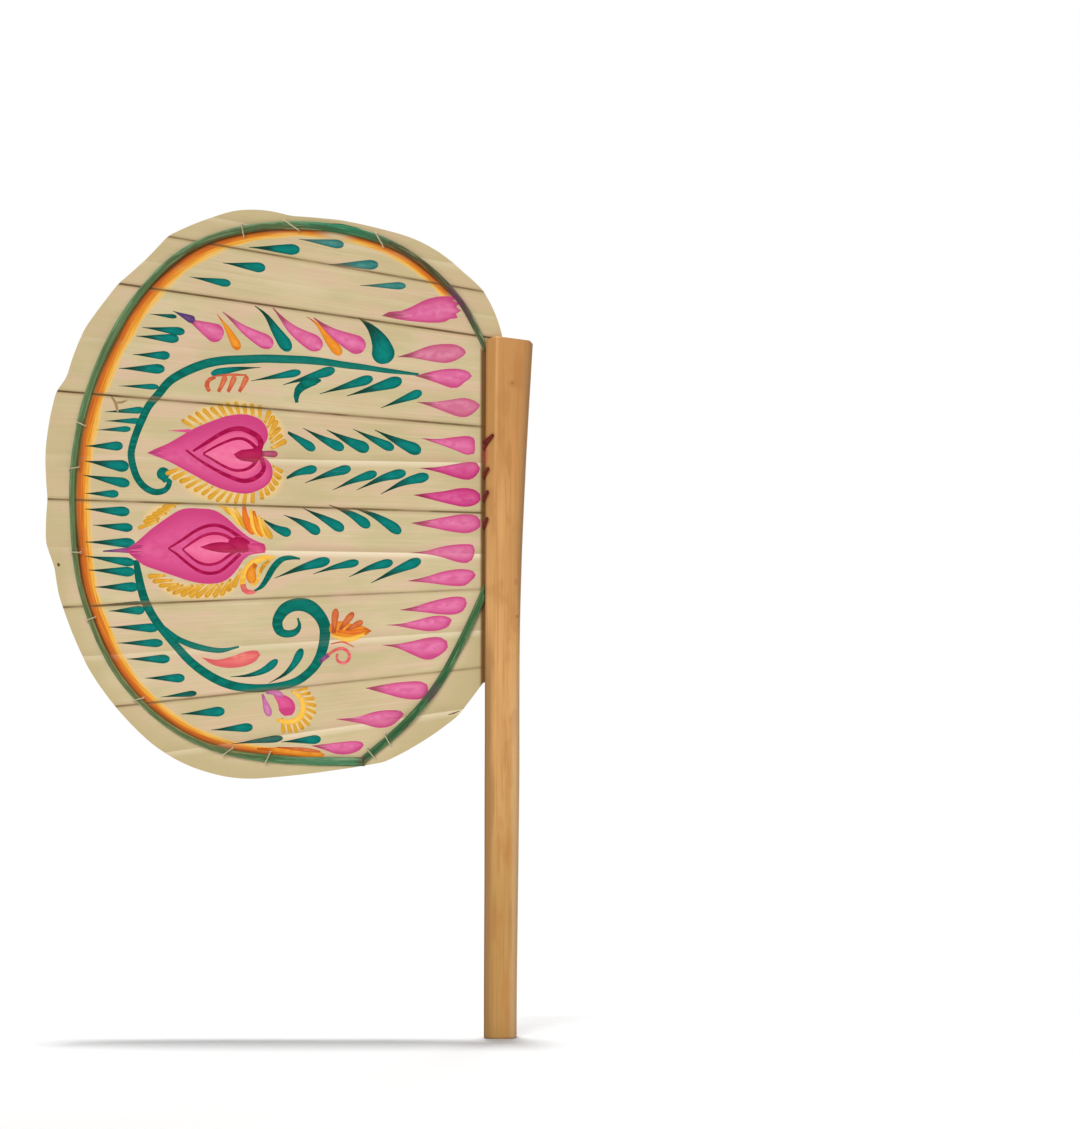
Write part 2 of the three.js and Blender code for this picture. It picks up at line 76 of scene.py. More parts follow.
# Kerf and leaf, as in the solids
KERF_FOOT = 172.5
KERF_DEPTH = 10
MOUTH_X = -7.7
LEAF_REACH = 220
LEAF_THICKNESS = 0.6
LEAF_TUCK = 9.5
PLEAT_HALF_DEPTH = 0.6
PLEAT_SHARPNESS = 2.2
PLEAT_FADE = 14
PLEAT_LEFT_IN_KERF = 0.12

# The pressed line along each near fold
CREST_GROOVE = 0.15
CREST_GROOVE_HALF = 0.45

# Strips and threads, as in the solids
HOOP_INNER = 1.2
HOOP_OUTER = 2.5
HOOP_BEVEL = 0.4
TAIL_WIDTH = 3.8
STRIP_TRIM_X = -8.0
STITCH_DIAMETER = 0.8
LASHING_DIAMETER = 1.2
CLEARANCE = 0.3
STITCH_RUN = 3.0

# Threads as they show. The red one is thicker than its solid by its loose plies, and each
# lashing has a second turn above its first.
RED_THREAD = 1.6
TWIN_RISE = (3, 1.5, 1.5, 1.5)
THREAD_CORNER = 0.8
THREAD_STEP = 0.22
TWIST_DIAMETERS = 2.2
PLY_RADIUS_SHARE = {2: 0.27, 3: 0.25}
PLY_SIDES = 7
HOLE_SIDES = 10
CUTTER_SIDES = 12
STITCH_HOLE_RADIUS = 0.55
LASHING_HOLE_RADIUS = 0.7
LASHING_CORNER_GAP = 0.7

# Where the hoop's end and the tail's start meet, and the line that both are cut along
JOINT = Vector((60.9, -34.2))
JOINT_NORMAL = Vector((-0.94, 0.34))
JOINT_GAP = 0.08
JOINT_LAP = 4

# How far a surface strays from its plain form
HANDLE_WAVE = 0.1
HANDLE_GRAIN = 0.06
LEAF_WAVE = 0.1
OUTER_LEAF_WAVE = 0.7
OUTER_LEAF_FADE = 14
RIM_SHAKE = 0.13
PLAIN_RIM_REACH = 1.5
STRIP_SWELL = 0.06
STRIP_WAVE = 0.12
PLY_SWELL = 0.1

# Steps that curves are cut into
RIM_STEP = 1.5
RIM_ROUNDING = 4
STRIP_STEP = 1.6
BAND_STEP = 4
HANDLE_STEP = 2.5
ARCH_LINES = (0.05, 0.12, 0.2, 0.3, 0.42, 0.56, 0.72, 0.88)
FOLD_REACHES = [-12, -6, -2, 0, 2, 4, 6, 8.5, 11, 14] + [14 + 9 * i for i in range(1, 25)]

# Edges whose faces meet at more than this angle stay sharp, in degrees
LEAF_SHARP = 9
STRIP_SHARP = 35
HANDLE_SHARP = 28

# The wash beside the hoop: where it starts, is joined and stops short of the hoop's end, how
# far inside the hoop's centre line its near edge lies, and the length it fades over
BAND_START = 30
BAND_JOIN = 106
BAND_SHORT = 20
BAND_NEAR = 0.6
BAND_FADE = 12

# Camera: level, straight on, a little above the middle of the fan, in metres
CAMERA_PLACE = (0.0198, -1.3328, 0.23625)
CAMERA_LENS = 85
CAMERA_SENSOR = 36

# Lamps: strength, softness, and the azimuth and elevation that they shine from, in degrees
LAMPS = {
    "key": (1.76, 35, -22, 26),
    "fill": (1.0, 35, 158, 26),
    "overhead": (2.5, 5, -165, 86.2),
}
WORLD_LEVEL = 0.37
FLOOR_GREY = 0.665
FLOOR_HALF_WIDTH = 1.6
FLOOR_NEAR = -1.6
FLOOR_FAR = 0.06

# Folds, top to bottom: height at the kerf, height at the far rim, depth (1 away, -1 near), how
# dark the line along the fold and its painted shade are, and how strong the painted light and
# painted shade beside it are, each near the handle and at the far side
FOLDS = [
    (233, 283, 0.6, (0.0, 0.0), (0.0, 0.0)),
    (222, 268, -0.5, (0.2, 0.3), (0.0, 0.0)),
    (211, 253.5, 0.3, (0.0, 0.0), (0.3, 0.3)),
    (200, 238.5, -0.6, (0.75, 0.7), (0.0, 0.0)),
    (188.5, 224, 0.3, (0.1, 0.15), (0.15, 0.15)),
    (177.5, 209.5, -1, (0.95, 0.95), (0.0, 0.0)),
    (155, 180, 1, (0.15, 0.4), (0.12, 0.12)),
    (132.5, 151, -1, (0.9, 1.0), (0.0, 0.0)),
    (114.5, 118.5, 1, (0.05, 0.12), (0.75, 0.12)),
    (89.5, 96.5, -1, (0.85, 0.85), (0.0, 0.0)),
    (69, 72.5, 1, (0.1, 0.05), (1.0, 0.1)),
    (51.5, 42, -1, (0.45, 0.85), (0.0, 0.0)),
    (31, 16.5, 1, (0.05, 0.1), (0.55, 0.35)),
    (12.5, -11, -1, (0.45, 0.75), (0.0, 0.0)),
    (-7, -39, 1, (0.05, 0.1), (0.6, 0.4)),
    (-27, -68, -1, (0.2, 0.2), (0.0, 0.0)),
    (-47, -97, 1, (0.0, 0.0), (0.0, 0.0)),
]

# Rim of the leaf, from the handle along the bottom, up the far side and back over the top:
# reach, height, and how far the cut edge bows out on its way to the next corner
RIM = [
    (1, 4.5, 0), (13, -11.5, 1.5), (50.5, -35, 0.8), (110.5, -43, 1.4), (139, -40, 2.2),
    (170.5, -22.3, 1.7), (199.5, 14, 0.6), (212.8, 48, 0.2), (215, 62, 0), (219.5, 74, 0.4),
    (218.5, 96.5, 0.2), (220, 118, 1), (213.8, 151, -0.4), (208.5, 158.5, 0.7), (200, 182, 0.2),
    (183.3, 204, -0.7), (158.5, 228, 0.9), (126.5, 240.3, 1.8), (97.5, 238, 0.2),
    (71.5, 235.8, 0.3), (42.5, 229, 2.4), (10.5, 209.5, 0.2), (1.5, 201.5, 1.6),
    (-LEAF_TUCK, 173.5, 0), (-LEAF_TUCK, 8, 0),
]

# Centre lines of the hoop, from the head over the top to the bottom, and of the tail, from
# there back to the handle, with the hoop's width at fractions of its length
HOOP_PATH = [
    (-3, 166.7), (14.1, 197.5), (41.5, 221), (76.5, 231.9), (119, 231.2), (149.5, 220.2),
    (174.2, 196.4), (193.1, 162.6), (203.8, 126), (206, 90), (200.8, 48.4), (183.3, 8.8),
    (157.2, -17.2), (132, -28.9), (99, -33.8), (61.5, -34.7),
]
HOOP_WIDTHS = [
    (0, 2.8), (0.1, 3.1), (0.17, 4.1), (0.42, 3.8), (0.6, 2.8), (0.85, 2.9), (0.93, 4), (1, 4.4),
]
TAIL_PATH = [(60.2, -33.3), (40.6, -16.3), (24.3, 2.8), (13, 22.8), (-1.2, 53)]

# Stitches: place along the strip as a fraction of its length, and lean from square in degrees.
# The first leans the other way in the solids.
HOOP_STITCHES = [
    (0.152, -50), (0.233, -55), (0.277, 0), (0.519, 12), (0.56, -15), (0.636, 10), (0.698, 0),
    (0.783, 30), (0.878, 40), (0.915, 20),
]
TAIL_STITCHES = [(0.04, 0), (0.14, 12)]

# Lashings: drop below the head, left edge to hole, and how far the thread slants down. The holes
# are nearer the edge than in the solids, and the lower three threads are steeper.
LASHINGS = [(49.5, 3.4, 6), (66, 1.1, 4.0), (77.6, 0.9, 4.0), (91, 0.8, 4.2)]

# How the green paint has worn: its colour at the outer edge, in the middle and at the inner
# edge of a strip. A paler outer edge is partly a painted highlight, and a dark brown inner edge
# partly painted shade.
STRIP_WEAR_AND_SHADE = {
    "dull": ((128, 148, 110), (63, 75, 41), (54, 62, 31)),
    "stained": ((116, 104, 98), (68, 46, 46), (70, 48, 36)),
    "rubbed": ((94, 94, 58), (60, 54, 27), (100, 70, 27)),
    "fresh": ((42, 122, 88), (30, 104, 68), (44, 92, 54)),
    "worn": ((100, 133, 93), (71, 93, 54), (82, 67, 30)),
    "thin": ((97, 127, 86), (76, 105, 62), (88, 112, 69)),
    "cane": ((103, 121, 80), (76, 96, 56), (122, 112, 64)),
    "even": ((78, 120, 77), (52, 94, 50), (70, 104, 58)),
    "deep": ((60, 111, 69), (32, 79, 41), (50, 92, 51)),
    "pale": ((66, 116, 76), (67, 118, 81), (106, 142, 103)),
    "cut": ((80, 88, 55), (64, 65, 38), (80, 82, 52)),
}

# Where each kind of wear lies: along the hoop from the head, and along the tail from its
# lower end
HOOP_WEAR = [
    (0, "dull"),
    (20, "dull"),
    (30, "stained"),
    (44, "rubbed"),
    (72, "rubbed"),
    (96, "fresh"),
    (106, "fresh"),
    (136, "worn"),
    (190, "worn"),
    (225, "thin"),
    (310, "thin"),
    (360, "cane"),
    (485, "cane"),
    (508, "even"),
    (530, "pale"),
    (549, "pale"),
    (553, "cut"),
]
TAIL_WEAR = [(0, "cut"), (3, "deep"), (62, "deep"), (108, "even")]

# Marks on the handle's front: x, z, half width, half height, strength and colour
HANDLE_MARKS = [
    (6.2, 326.5, 1.3, 1.1, 0.8, (136, 86, 42)),
    (6.4, 326.2, 3, 2.8, 0.45, (172, 114, 58)),
    (1.6, 317, 5, 9, 0.45, (178, 120, 62)),
    (8, 227.5, 1.1, 2.2, 0.6, (168, 112, 62)),
    (8.4, 210.5, 0.9, 0.9, 0.75, (150, 96, 52)),
    (-1, 92, 1.4, 14, 0.3, (160, 108, 56)),
    (5, 55, 1.2, 20, 0.3, (154, 106, 52)),
    (-4.6, 118, 2, 26, 0.4, (150, 104, 54)),
    (2.4, 148, 1.4, 18, 0.3, (166, 114, 60)),
    (-3, 62, 1.2, 16, 0.3, (146, 102, 50)),
    (0.5, 262, 2.4, 22, 0.3, (222, 170, 104)),
    (4.4, 289, 1.6, 12, 0.35, (168, 112, 56)),
    (-7, 291.5, 1.4, 5, 0.5, (176, 84, 64)),
]

# Each paint: how far along a stroke its darker tip reaches, then tip, body, light and edge
PAINTS = {
    "teal": (0.72, (24, 60, 48), (12, 114, 106), (18, 134, 124), (8, 88, 78)),
    "scroll": (0.02, (10, 94, 82), (11, 109, 96), (16, 126, 112), (8, 88, 76)),
    "deep_teal": (0.6, (26, 54, 46), (18, 84, 76), (20, 104, 92), (18, 62, 56)),
    "grey_teal": (0.6, (66, 92, 82), (50, 120, 114), (84, 146, 138), (44, 98, 92)),
    "pink": (0.42, (152, 74, 88), (211, 98, 146), (228, 130, 172), (188, 62, 114)),
    "faded_pink": (0.42, (146, 70, 84), (204, 110, 140), (222, 142, 168), (184, 74, 112)),
    "deep_pink": (0.42, (138, 46, 74), (202, 72, 130), (216, 104, 156), (176, 44, 100)),
    "heart": (0.1, (160, 52, 104), (210, 80, 134), (220, 98, 148), (194, 60, 116)),
    "blush": (0.05, (224, 96, 140), (232, 106, 150), (238, 124, 162), (220, 90, 134)),
    "magenta": (0.1, (176, 50, 96), (206, 62, 118), (218, 92, 142), (182, 48, 98)),
    "crimson": (0.02, (160, 18, 72), (172, 24, 78), (188, 36, 92), (152, 12, 62)),
    "mauve": (0.4, (84, 70, 98), (142, 74, 124), (166, 96, 146), (112, 60, 106)),
    "orchid": (0.3, (160, 92, 140), (192, 108, 156), (212, 138, 178), (172, 88, 138)),
    "stub": (0.1, (150, 58, 88), (168, 72, 98), (186, 96, 122), (140, 52, 82)),
    "plum": (0.4, (48, 60, 84), (88, 58, 108), (116, 82, 132), (72, 48, 90)),
    "orange": (0.3, (190, 92, 30), (226, 136, 38), (238, 160, 62), (204, 108, 28)),
    "rust": (0.2, (206, 96, 34), (222, 112, 40), (232, 130, 52), (200, 86, 28)),
    "gold": (0.5, (232, 180, 84), (212, 154, 48), (222, 168, 64), (186, 128, 36)),
    "yellow": (0.2, (238, 186, 84), (240, 186, 72), (246, 202, 104), (226, 166, 56)),
    "coral": (0.4, (190, 88, 58), (204, 104, 70), (220, 134, 92), (190, 82, 54)),
    "rose": (0.3, (206, 112, 88), (226, 112, 108), (236, 148, 128), (206, 86, 92)),
    "brick": (0.4, (176, 84, 44), (200, 100, 56), (220, 132, 80), (172, 80, 46)),
    "moss": (0.1, (44, 108, 70), (52, 122, 82), (78, 146, 102), (40, 100, 66)),
    "stain": (0.05, (160, 134, 96), (150, 122, 88), (162, 136, 98), (182, 158, 114)),
    "umber": (0.05, (84, 58, 32), (92, 64, 36), (108, 80, 48), (74, 50, 28)),
}

# Drops of paint: paint, width and points. First those that point inward from the left side,
# top to bottom.
COMB = [
    ("deep_teal", 2.2, (168, 189), (154, 187.5)),
    ("teal", 4.2, (171.5, 182.3), (150, 180)),
    ("teal", 4.6, (174.5, 178), (153, 176.5)),
    ("teal", 4.5, (176, 168.7), (157.5, 168.2)),
    ("teal", 5, (183, 161.8), (160, 161.5)),
    ("teal", 3, (183, 153), (163, 152.5)),
    ("teal", 3.5, (190, 140), (170, 141)),
    ("teal", 3, (190, 135.5), (172, 135.5)),
    ("teal", 3, (194, 131), (177, 131.5)),
    ("teal", 4.7, (200, 123), (181, 123)),
    ("teal", 6, (200, 115.5), (178, 112.5)),
    ("teal", 5, (201, 108.5), (177.5, 104)),
    ("teal", 4, (200, 99.3), (183, 99)),
    ("teal", 5, (200, 91.5), (177.5, 90)),
    ("teal", 4.5, (196, 83.5), (176, 82)),
    ("teal", 5, (200, 75), (175, 74.5)),
    ("teal", 4.5, (200, 68), (175, 64.5)),
    ("teal", 5, (198, 61), (175, 60)),
    ("teal", 5, (195, 52.5), (173, 52.5)),
    ("deep_teal", 1.6, (193, 43.6), (171, 44.8)),
    ("teal", 4.5, (188, 40.5), (170, 41)),
    ("teal", 4.6, (188, 32.5), (163, 32)),
    ("teal", 4.3, (184, 24.5), (161, 24.5)),
    ("teal", 4.5, (179, 16.5), (157.5, 16.5)),
    ("teal", 4.5, (170, 7), (150, 7)),
    ("deep_teal", 3, (162, -2.5), (144, -0.5)),
    ("teal", 5, (152, -11), (130, -9.5)),
    ("teal", 4.5, (137, -19), (116, -17.5)),
    ("deep_teal", 3.6, (127, -26), (101, -23)),
    ("teal", 4.5, (102, -25), (82, -23.5)),
]

# Drops along the top, then the row over the upper stem
TOP_DROPS = [
    ("teal", 5.5, (118, 222.3), (92.5, 221)),
    ("grey_teal", 4.5, (93, 226.4), (70.5, 223.5)),
    ("grey_teal", 5, (78, 213.7), (53.3, 213.5)),
    ("teal", 5, (131, 214.5), (109.7, 211.8)),
    ("grey_teal", 3.8, (62.5, 203.2), (39.5, 203)),
    ("teal", 4, (147.5, 207.5), (127, 204)),
    ("pink", 9.5, (150, 187), (131, 177.5)),
    ("plum", 4, (156, 190.5), (145, 185.5)),
    ("orange", 4.7, (134, 189), (129, 182), (123, 171)),
    ("pink", 7.5, (131, 190), (120, 181), (106, 173)),
    ("teal", 6.5, (115, 193), (110, 189), (104, 180), (97.5, 170.5)),
    ("pink", 8.5, (106, 192), (96, 181), (81.5, 172)),
    ("orange", 5.2, (89, 187.5), (84, 184), (78, 176), (72, 168.5)),
    ("pink", 9.5, (85.5, 187), (75, 179), (60, 171.5)),
    ("teal", 11.5, (63, 187), (57, 182), (52, 174), (50, 164)),
]

# Small leaves under the upper stem
STEM_LEAVES = [
    ("teal", 4, (112, 162.3), (124, 161.5), (137, 159)),
    ("teal", 4, (117, 155.5), (92, 160)),
    ("teal", 5, (101, 153.5), (75, 161.3)),
    ("teal", 5, (82.5, 149), (56, 157)),
    ("teal", 6, (69, 148), (41.5, 156)),
    ("teal", 4.6, (52, 142), (31.5, 150)),
]

# The four sprays between the hearts and the pink petals
SPRAYS = [
    (4.6, (103, 132.5), (94, 127), (85, 121)),
    (5, (91, 132), (80, 126), (70.5, 121.5)),
    (6, (79, 131), (67, 125), (58, 121)),
    (4.8, (66, 131.5), (55, 126), (45.5, 121.5)),
    (6.2, (55, 131), (42, 124.5), (32, 120)),
    (4.6, (103, 104.5), (94, 109.5), (84, 111.8)),
    (4.8, (90, 104.5), (78, 109), (67, 112)),
    (4.6, (76, 101), (65, 106), (54, 109.5)),
    (5, (64, 101), (51, 107), (39.5, 109.8)),
    (5.2, (52, 99), (40, 105), (28, 108)),
    (4.8, (112, 87), (104.5, 82), (97, 79)),
    (5.2, (100.5, 88.5), (91, 84.5), (82.5, 79.5)),
    (5.2, (91, 92), (80, 86.5), (70.5, 81)),
    (5.2, (78, 93.5), (67, 89), (57.5, 82.5)),
    (5.4, (66, 92), (57, 89), (49, 84.5), (42, 79.5)),
    (5.2, (105, 57), (92, 62), (77.5, 66)),
    (4.2, (86, 59), (75, 62.5), (63, 65)),
    (4.6, (68, 57.5), (58, 62), (46, 65)),
    (5.2, (57, 54.5), (45, 60.5), (32, 66)),
]

# Pink petals beside the handle, each from its tip round its outline
PETALS = [
    [(51.5, 188), (48, 190), (42, 190.5), (36, 193), (30, 196), (24, 197.6), (19, 197.8),
     (14.6, 197.2), (15.8, 195.6), (12.8, 194.2), (14.4, 192.6), (12, 190.6), (14.4, 189),
     (13.6, 187), (17.4, 186.4), (20, 185), (26, 184.5), (34, 185), (42, 186)],
    [(44, 167.5), (36, 170), (28, 173), (20, 174), (14, 173.5), (10, 171), (9.5, 169.5),
     (13, 166.5), (19, 164.5), (28, 165.5), (36, 167)],
    [(35, 158), (28, 160), (20, 161.5), (13, 161.5), (8, 160), (6.5, 158), (10, 155),
     (14, 152), (17, 152), (24, 154.5), (30, 156.5)],
    [(34.5, 145), (26, 145), (18, 146), (10, 147), (5, 145.5), (2.4, 143.5), (5, 140),
     (9, 137.5), (13, 137.5), (20, 140), (28, 143)],
    [(32, 127), (24, 126.5), (15, 127.5), (8, 128), (5.5, 127), (5, 123), (5.5, 119),
     (9, 118.5), (14, 120.5), (22, 123.5), (28, 125.5)],
    [(33, 112), (24, 112.5), (15, 114), (8, 115), (4, 114.5), (2.5, 112), (4.5, 108),
     (8, 106), (14, 107), (22, 109.5), (28, 111)],
    [(36, 98.5), (28, 99.5), (20, 100.5), (12, 102), (6, 101.5), (2.5, 99), (2.2, 96),
     (5, 93.5), (10, 92.5), (18, 94), (28, 96.5)],
    [(37, 84.5), (28, 86), (20, 87.5), (10, 89), (4, 88), (2.2, 85.5), (2.5, 82.5),
     (8, 79.5), (16, 80), (26, 82), (33, 83.4)],
    [(38, 69.5), (30, 70.5), (20, 73), (10, 74), (6, 73.5), (5, 71), (6.5, 66), (9, 64.5),
     (14, 65), (22, 67.5), (30, 69)],
    [(39, 55.5), (30, 57.5), (20, 60.5), (11, 61.5), (6, 60.5), (4.5, 58.5), (7, 55.5),
     (10, 53.2), (16, 53), (28, 54.5)],
    [(43, 41), (36, 42.5), (28, 45), (20, 47), (14, 47.8), (10, 47), (9, 44.5), (11, 40.5),
     (15, 38.8), (22, 38.8), (32, 40)],
    [(50, 33.5), (42, 34.2), (34, 36), (26, 38), (20, 38), (16.5, 36), (18, 33), (22, 31),
     (28, 30.3), (36, 31.5), (44, 33)],
    [(52, 23.5), (44, 24), (36, 25.5), (28, 27.3), (22, 27.3), (19, 25.5), (18.5, 22.5),
     (21, 19.5), (26, 16.5), (30, 16.2), (36, 18.5), (44, 22)],
    [(60, 2), (52, 3.5), (46, 4.5), (38, 5.3), (32, 5.3), (29, 4), (28.5, 0), (30, -2.5),
     (34, -3.8), (42, -3), (50, -0.8)],
    [(75, -13.5), (64, -12.5), (55, -9.8), (48, -9), (42, -9.5), (40.5, -11), (43, -14),
     (47, -17), (53, -18), (62, -15.8)],
    [(87, -26.8), (80, -26), (72, -25), (66, -24.5), (61.5, -25), (60.5, -26.5), (62.5, -29),
     (68, -31), (74, -31), (80, -29)],
]

# Petals that stand out darker or paler, counted from 0 at the top
DEEP_PETALS = (5, 6)
FADED_PETALS = (1, 3)


# Smooth numbers and places


def mix(a, b, t):
    return a + (b - a) * t


def ramp(t):
    return min(1.0, max(0.0, t))


def smooth(t):
    t = ramp(t)
    return t * t * (3 - 2 * t)


def along_list(values, share):
    """The values before and after a share of the way along a list, and how far past the
    first of them it is, from 0 to 1."""
    place = share * (len(values) - 1)
    step = min(int(place), len(values) - 2)
    return values[step], values[step + 1], place - step


def spline_point(a, b, c, d, t):
    """A point on a centripetal Catmull-Rom curve between b and c."""
    span = max((c - b).length, 1e-8) ** 0.5
    before = max((b - a).length ** 0.5, 1e-4)
    after = max((d - c).length ** 0.5, 1e-4)
    start = (b - a) / before - (c - a) / (before + span) + (c - b) / span
    end = (c - b) / span - (d - b) / (span + after) + (d - c) / after
    start = start * span
    end = end * span
    bend = (c - b) * 3 - start * 2 - end
    twist = (b - c) * 2 + start + end
    return b + start * t + bend * (t * t) + twist * (t * t * t)


class Path:
    """A smooth path through points, measured along its length."""

    def __init__(self, points, spacing):
        knots = [Vector(point) for point in points]
        ends = [knots[0] * 2 - knots[1], *knots, knots[-1] * 2 - knots[-2]]
        self.points = []
        for a, b, c, d in zip(ends, ends[1:], ends[2:], ends[3:]):
            count = max(1, round((c - b).length / spacing))
            self.points += [spline_point(a, b, c, d, i / count) for i in range(count)]
        self.points.append(knots[-1])
        self.marks = [0.0]
        for here, there in zip(self.points, self.points[1:]):
            self.marks.append(self.marks[-1] + (there - here).length)
        self.length = self.marks[-1]

    def at(self, distance):
        """The point and direction at a distance along the path."""
        low = bisect.bisect_right(self.marks, distance) - 1
        low = max(0, min(low, len(self.marks) - 2))
        here = self.points[low]
        there = self.points[low + 1]
        share = (distance - self.marks[low]) / (self.marks[low + 1] - self.marks[low])
        return here.lerp(there, share), (there - here).normalized()

    def nearest(self, point):
        """How far along the path a point lies, and how far to its left."""
        best = (1e9, 0.0, 0.0)
        for i, here in enumerate(self.points[:-1]):
            along = self.points[i + 1] - here
            span = along.length
            if span < 1e-9:
                continue
            share = ramp((point - here).dot(along) / (span * span))
            gap = point - here - along * share
            if gap.length < best[0]:
                offset = math.copysign(gap.length, along.x * gap.y - along.y * gap.x)
                best = (gap.length, self.marks[i] + span * share, offset)
        return best[1:]


def edge_gap(place, loop):
    """Distance from a place to a closed outline."""
    best = 1e9
    for here, there in zip(loop, loop[1:] + loop[:1]):
        along = there - here
        share = ramp((place - here).dot(along) / max(along.length_squared, 1e-12))
        best = min(best, (place - here - along * share).length)
    return best


def turned_left(direction):
    return Vector((-direction.y, direction.x))


def circle(centre, radius, count):
    turns = [2 * math.pi * i / count for i in range(count)]
    return [centre + Vector((math.cos(a), math.sin(a))) * radius for a in turns]


def on_fan(place, y):
    """The point in space of a place on the leaf, at a depth."""
    return Vector((MOUTH_X - place.x, y, KERF_FOOT + place.y))


hoop_path = Path(HOOP_PATH, 0.5)
hoop_coarse = Path(HOOP_PATH, 4)
tail_path = Path(TAIL_PATH, 0.5)
tail_coarse = Path(TAIL_PATH, 4)


def hoop_width(fraction):
    for (start, start_width), (end, end_width) in zip(HOOP_WIDTHS, HOOP_WIDTHS[1:]):
        if fraction <= end:
            return mix(start_width, end_width, smooth((fraction - start) / (end - start)))
    return HOOP_WIDTHS[-1][1]


def tail_width(fraction):
    return TAIL_WIDTH


# Shader building


def srgb(red, green, blue):
    """A colour from 0-255 values, as the shader wants it."""
    parts = [c / 255 for c in (red, green, blue)]
    linear = [c / 12.92 if c <= 0.04045 else ((c + 0.055) / 1.055) ** 2.4 for c in parts]
    return (*linear, 1)


class Shader:
    """A material and short ways to add nodes to it."""

    def __init__(self, name, roughness, sheen=0.0, gloss=0.3):
        self.material = bpy.data.materials.new(name)
        self.material.use_nodes = True
        self.tree = self.material.node_tree
        self.surface = self.tree.nodes["Principled BSDF"]
        self.surface.inputs["Roughness"].default_value = roughness
        self.surface.inputs["Specular IOR Level"].default_value = gloss
        self.surface.inputs["Sheen Weight"].default_value = sheen

    def node(self, kind, **settings):
        node = self.tree.nodes.new("ShaderNode" + kind)
        for name, value in settings.items():
            setattr(node, name, value)
        return node

    def put(self, socket, value):
        if isinstance(value, bpy.types.NodeSocket):
            self.tree.links.new(value, socket)
        else:
            socket.default_value = value

    def calc(self, operation, a, b=0.0):
        node = self.node("Math", operation=operation)
        self.put(node.inputs[0], a)
        self.put(node.inputs[1], b)
        return node.outputs[0]

    def add(self, a, b):
        return self.calc("ADD", a, b)

    def times(self, first, *others):
        for other in others:
            first = self.calc("MULTIPLY", first, other)
        return first

    def span(self, value, low, high, to_low=0.0, to_high=1.0):
        """Goes smoothly from one value to another while its input goes from low to high."""
        node = self.node("MapRange", interpolation_type="SMOOTHSTEP")
        self.put(node.inputs["Value"], value)
        names = ("From Min", "From Max", "To Min", "To Max")
        for name, number in zip(names, (low, high, to_low, to_high)):
            node.inputs[name].default_value = number
        return node.outputs["Result"]

    def blend(self, factor, a, b):
        node = self.node("Mix", data_type="RGBA")
        self.put(node.inputs[0], factor)
        self.put(node.inputs[6], a)
        self.put(node.inputs[7], b)
        return node.outputs[2]

    def tints(self, colour, *steps):
        """Lays tones over a colour, one after another, each by its own factor."""
        for factor, tone in steps:
            colour = self.blend(factor, colour, srgb(*tone))
        return colour

    def split(self, vector):
        node = self.node("SeparateXYZ")
        self.put(node.inputs[0], vector)
        return node.outputs[0], node.outputs[1], node.outputs[2]

    def uv(self, name):
        return self.split(self.node("UVMap", uv_map=name).outputs[0])[:2]

    def attribute(self, name):
        return self.split(self.node("Attribute", attribute_name=name).outputs["Vector"])

    def position(self):
        """The place on the object, in millimetres."""
        scaled = self.node("VectorMath", operation="SCALE")
        self.put(scaled.inputs[0], self.node("TexCoord").outputs["Object"])
        scaled.inputs["Scale"].default_value = 1 / MM
        return self.split(scaled.outputs[0])

    def grain(self, x, y, z, stretch, detail=3.0, roughness=0.55):
        """Noise with its own scale along each of three coordinates."""
        node = self.node("TexNoise")
        node.inputs["Scale"].default_value = 1.0
        node.inputs["Detail"].default_value = detail
        node.inputs["Roughness"].default_value = roughness
        place = self.node("CombineXYZ")
        for i, part in enumerate((x, y, z)):
            self.put(place.inputs[i], self.times(part, stretch[i]))
        self.put(node.inputs["Vector"], place.outputs[0])
        return node.outputs[0]

    def shades(self, value, *stops):
        """Colours along a value from 0 to 1."""
        node = self.node("ValToRGB")
        elements = node.color_ramp.elements
        while len(elements) < len(stops):
            elements.new(0.5)
        for element, (place, tone) in zip(elements, stops):
            element.position = place
            element.color = srgb(*tone)
        self.put(node.inputs[0], value)
        return node.outputs[0]

    def finish(self, colour, height, distance):
        """Sets the surface's colour and its fine relief."""
        node = self.node("Bump")
        node.inputs["Distance"].default_value = distance * MM
        node.inputs["Strength"].default_value = 1.0
        self.put(node.inputs["Height"], height)
        self.put(self.surface.inputs["Normal"], node.outputs[0])
        self.put(self.surface.inputs["Base Color"], colour)
        return self.material


# Leaf and paint materials


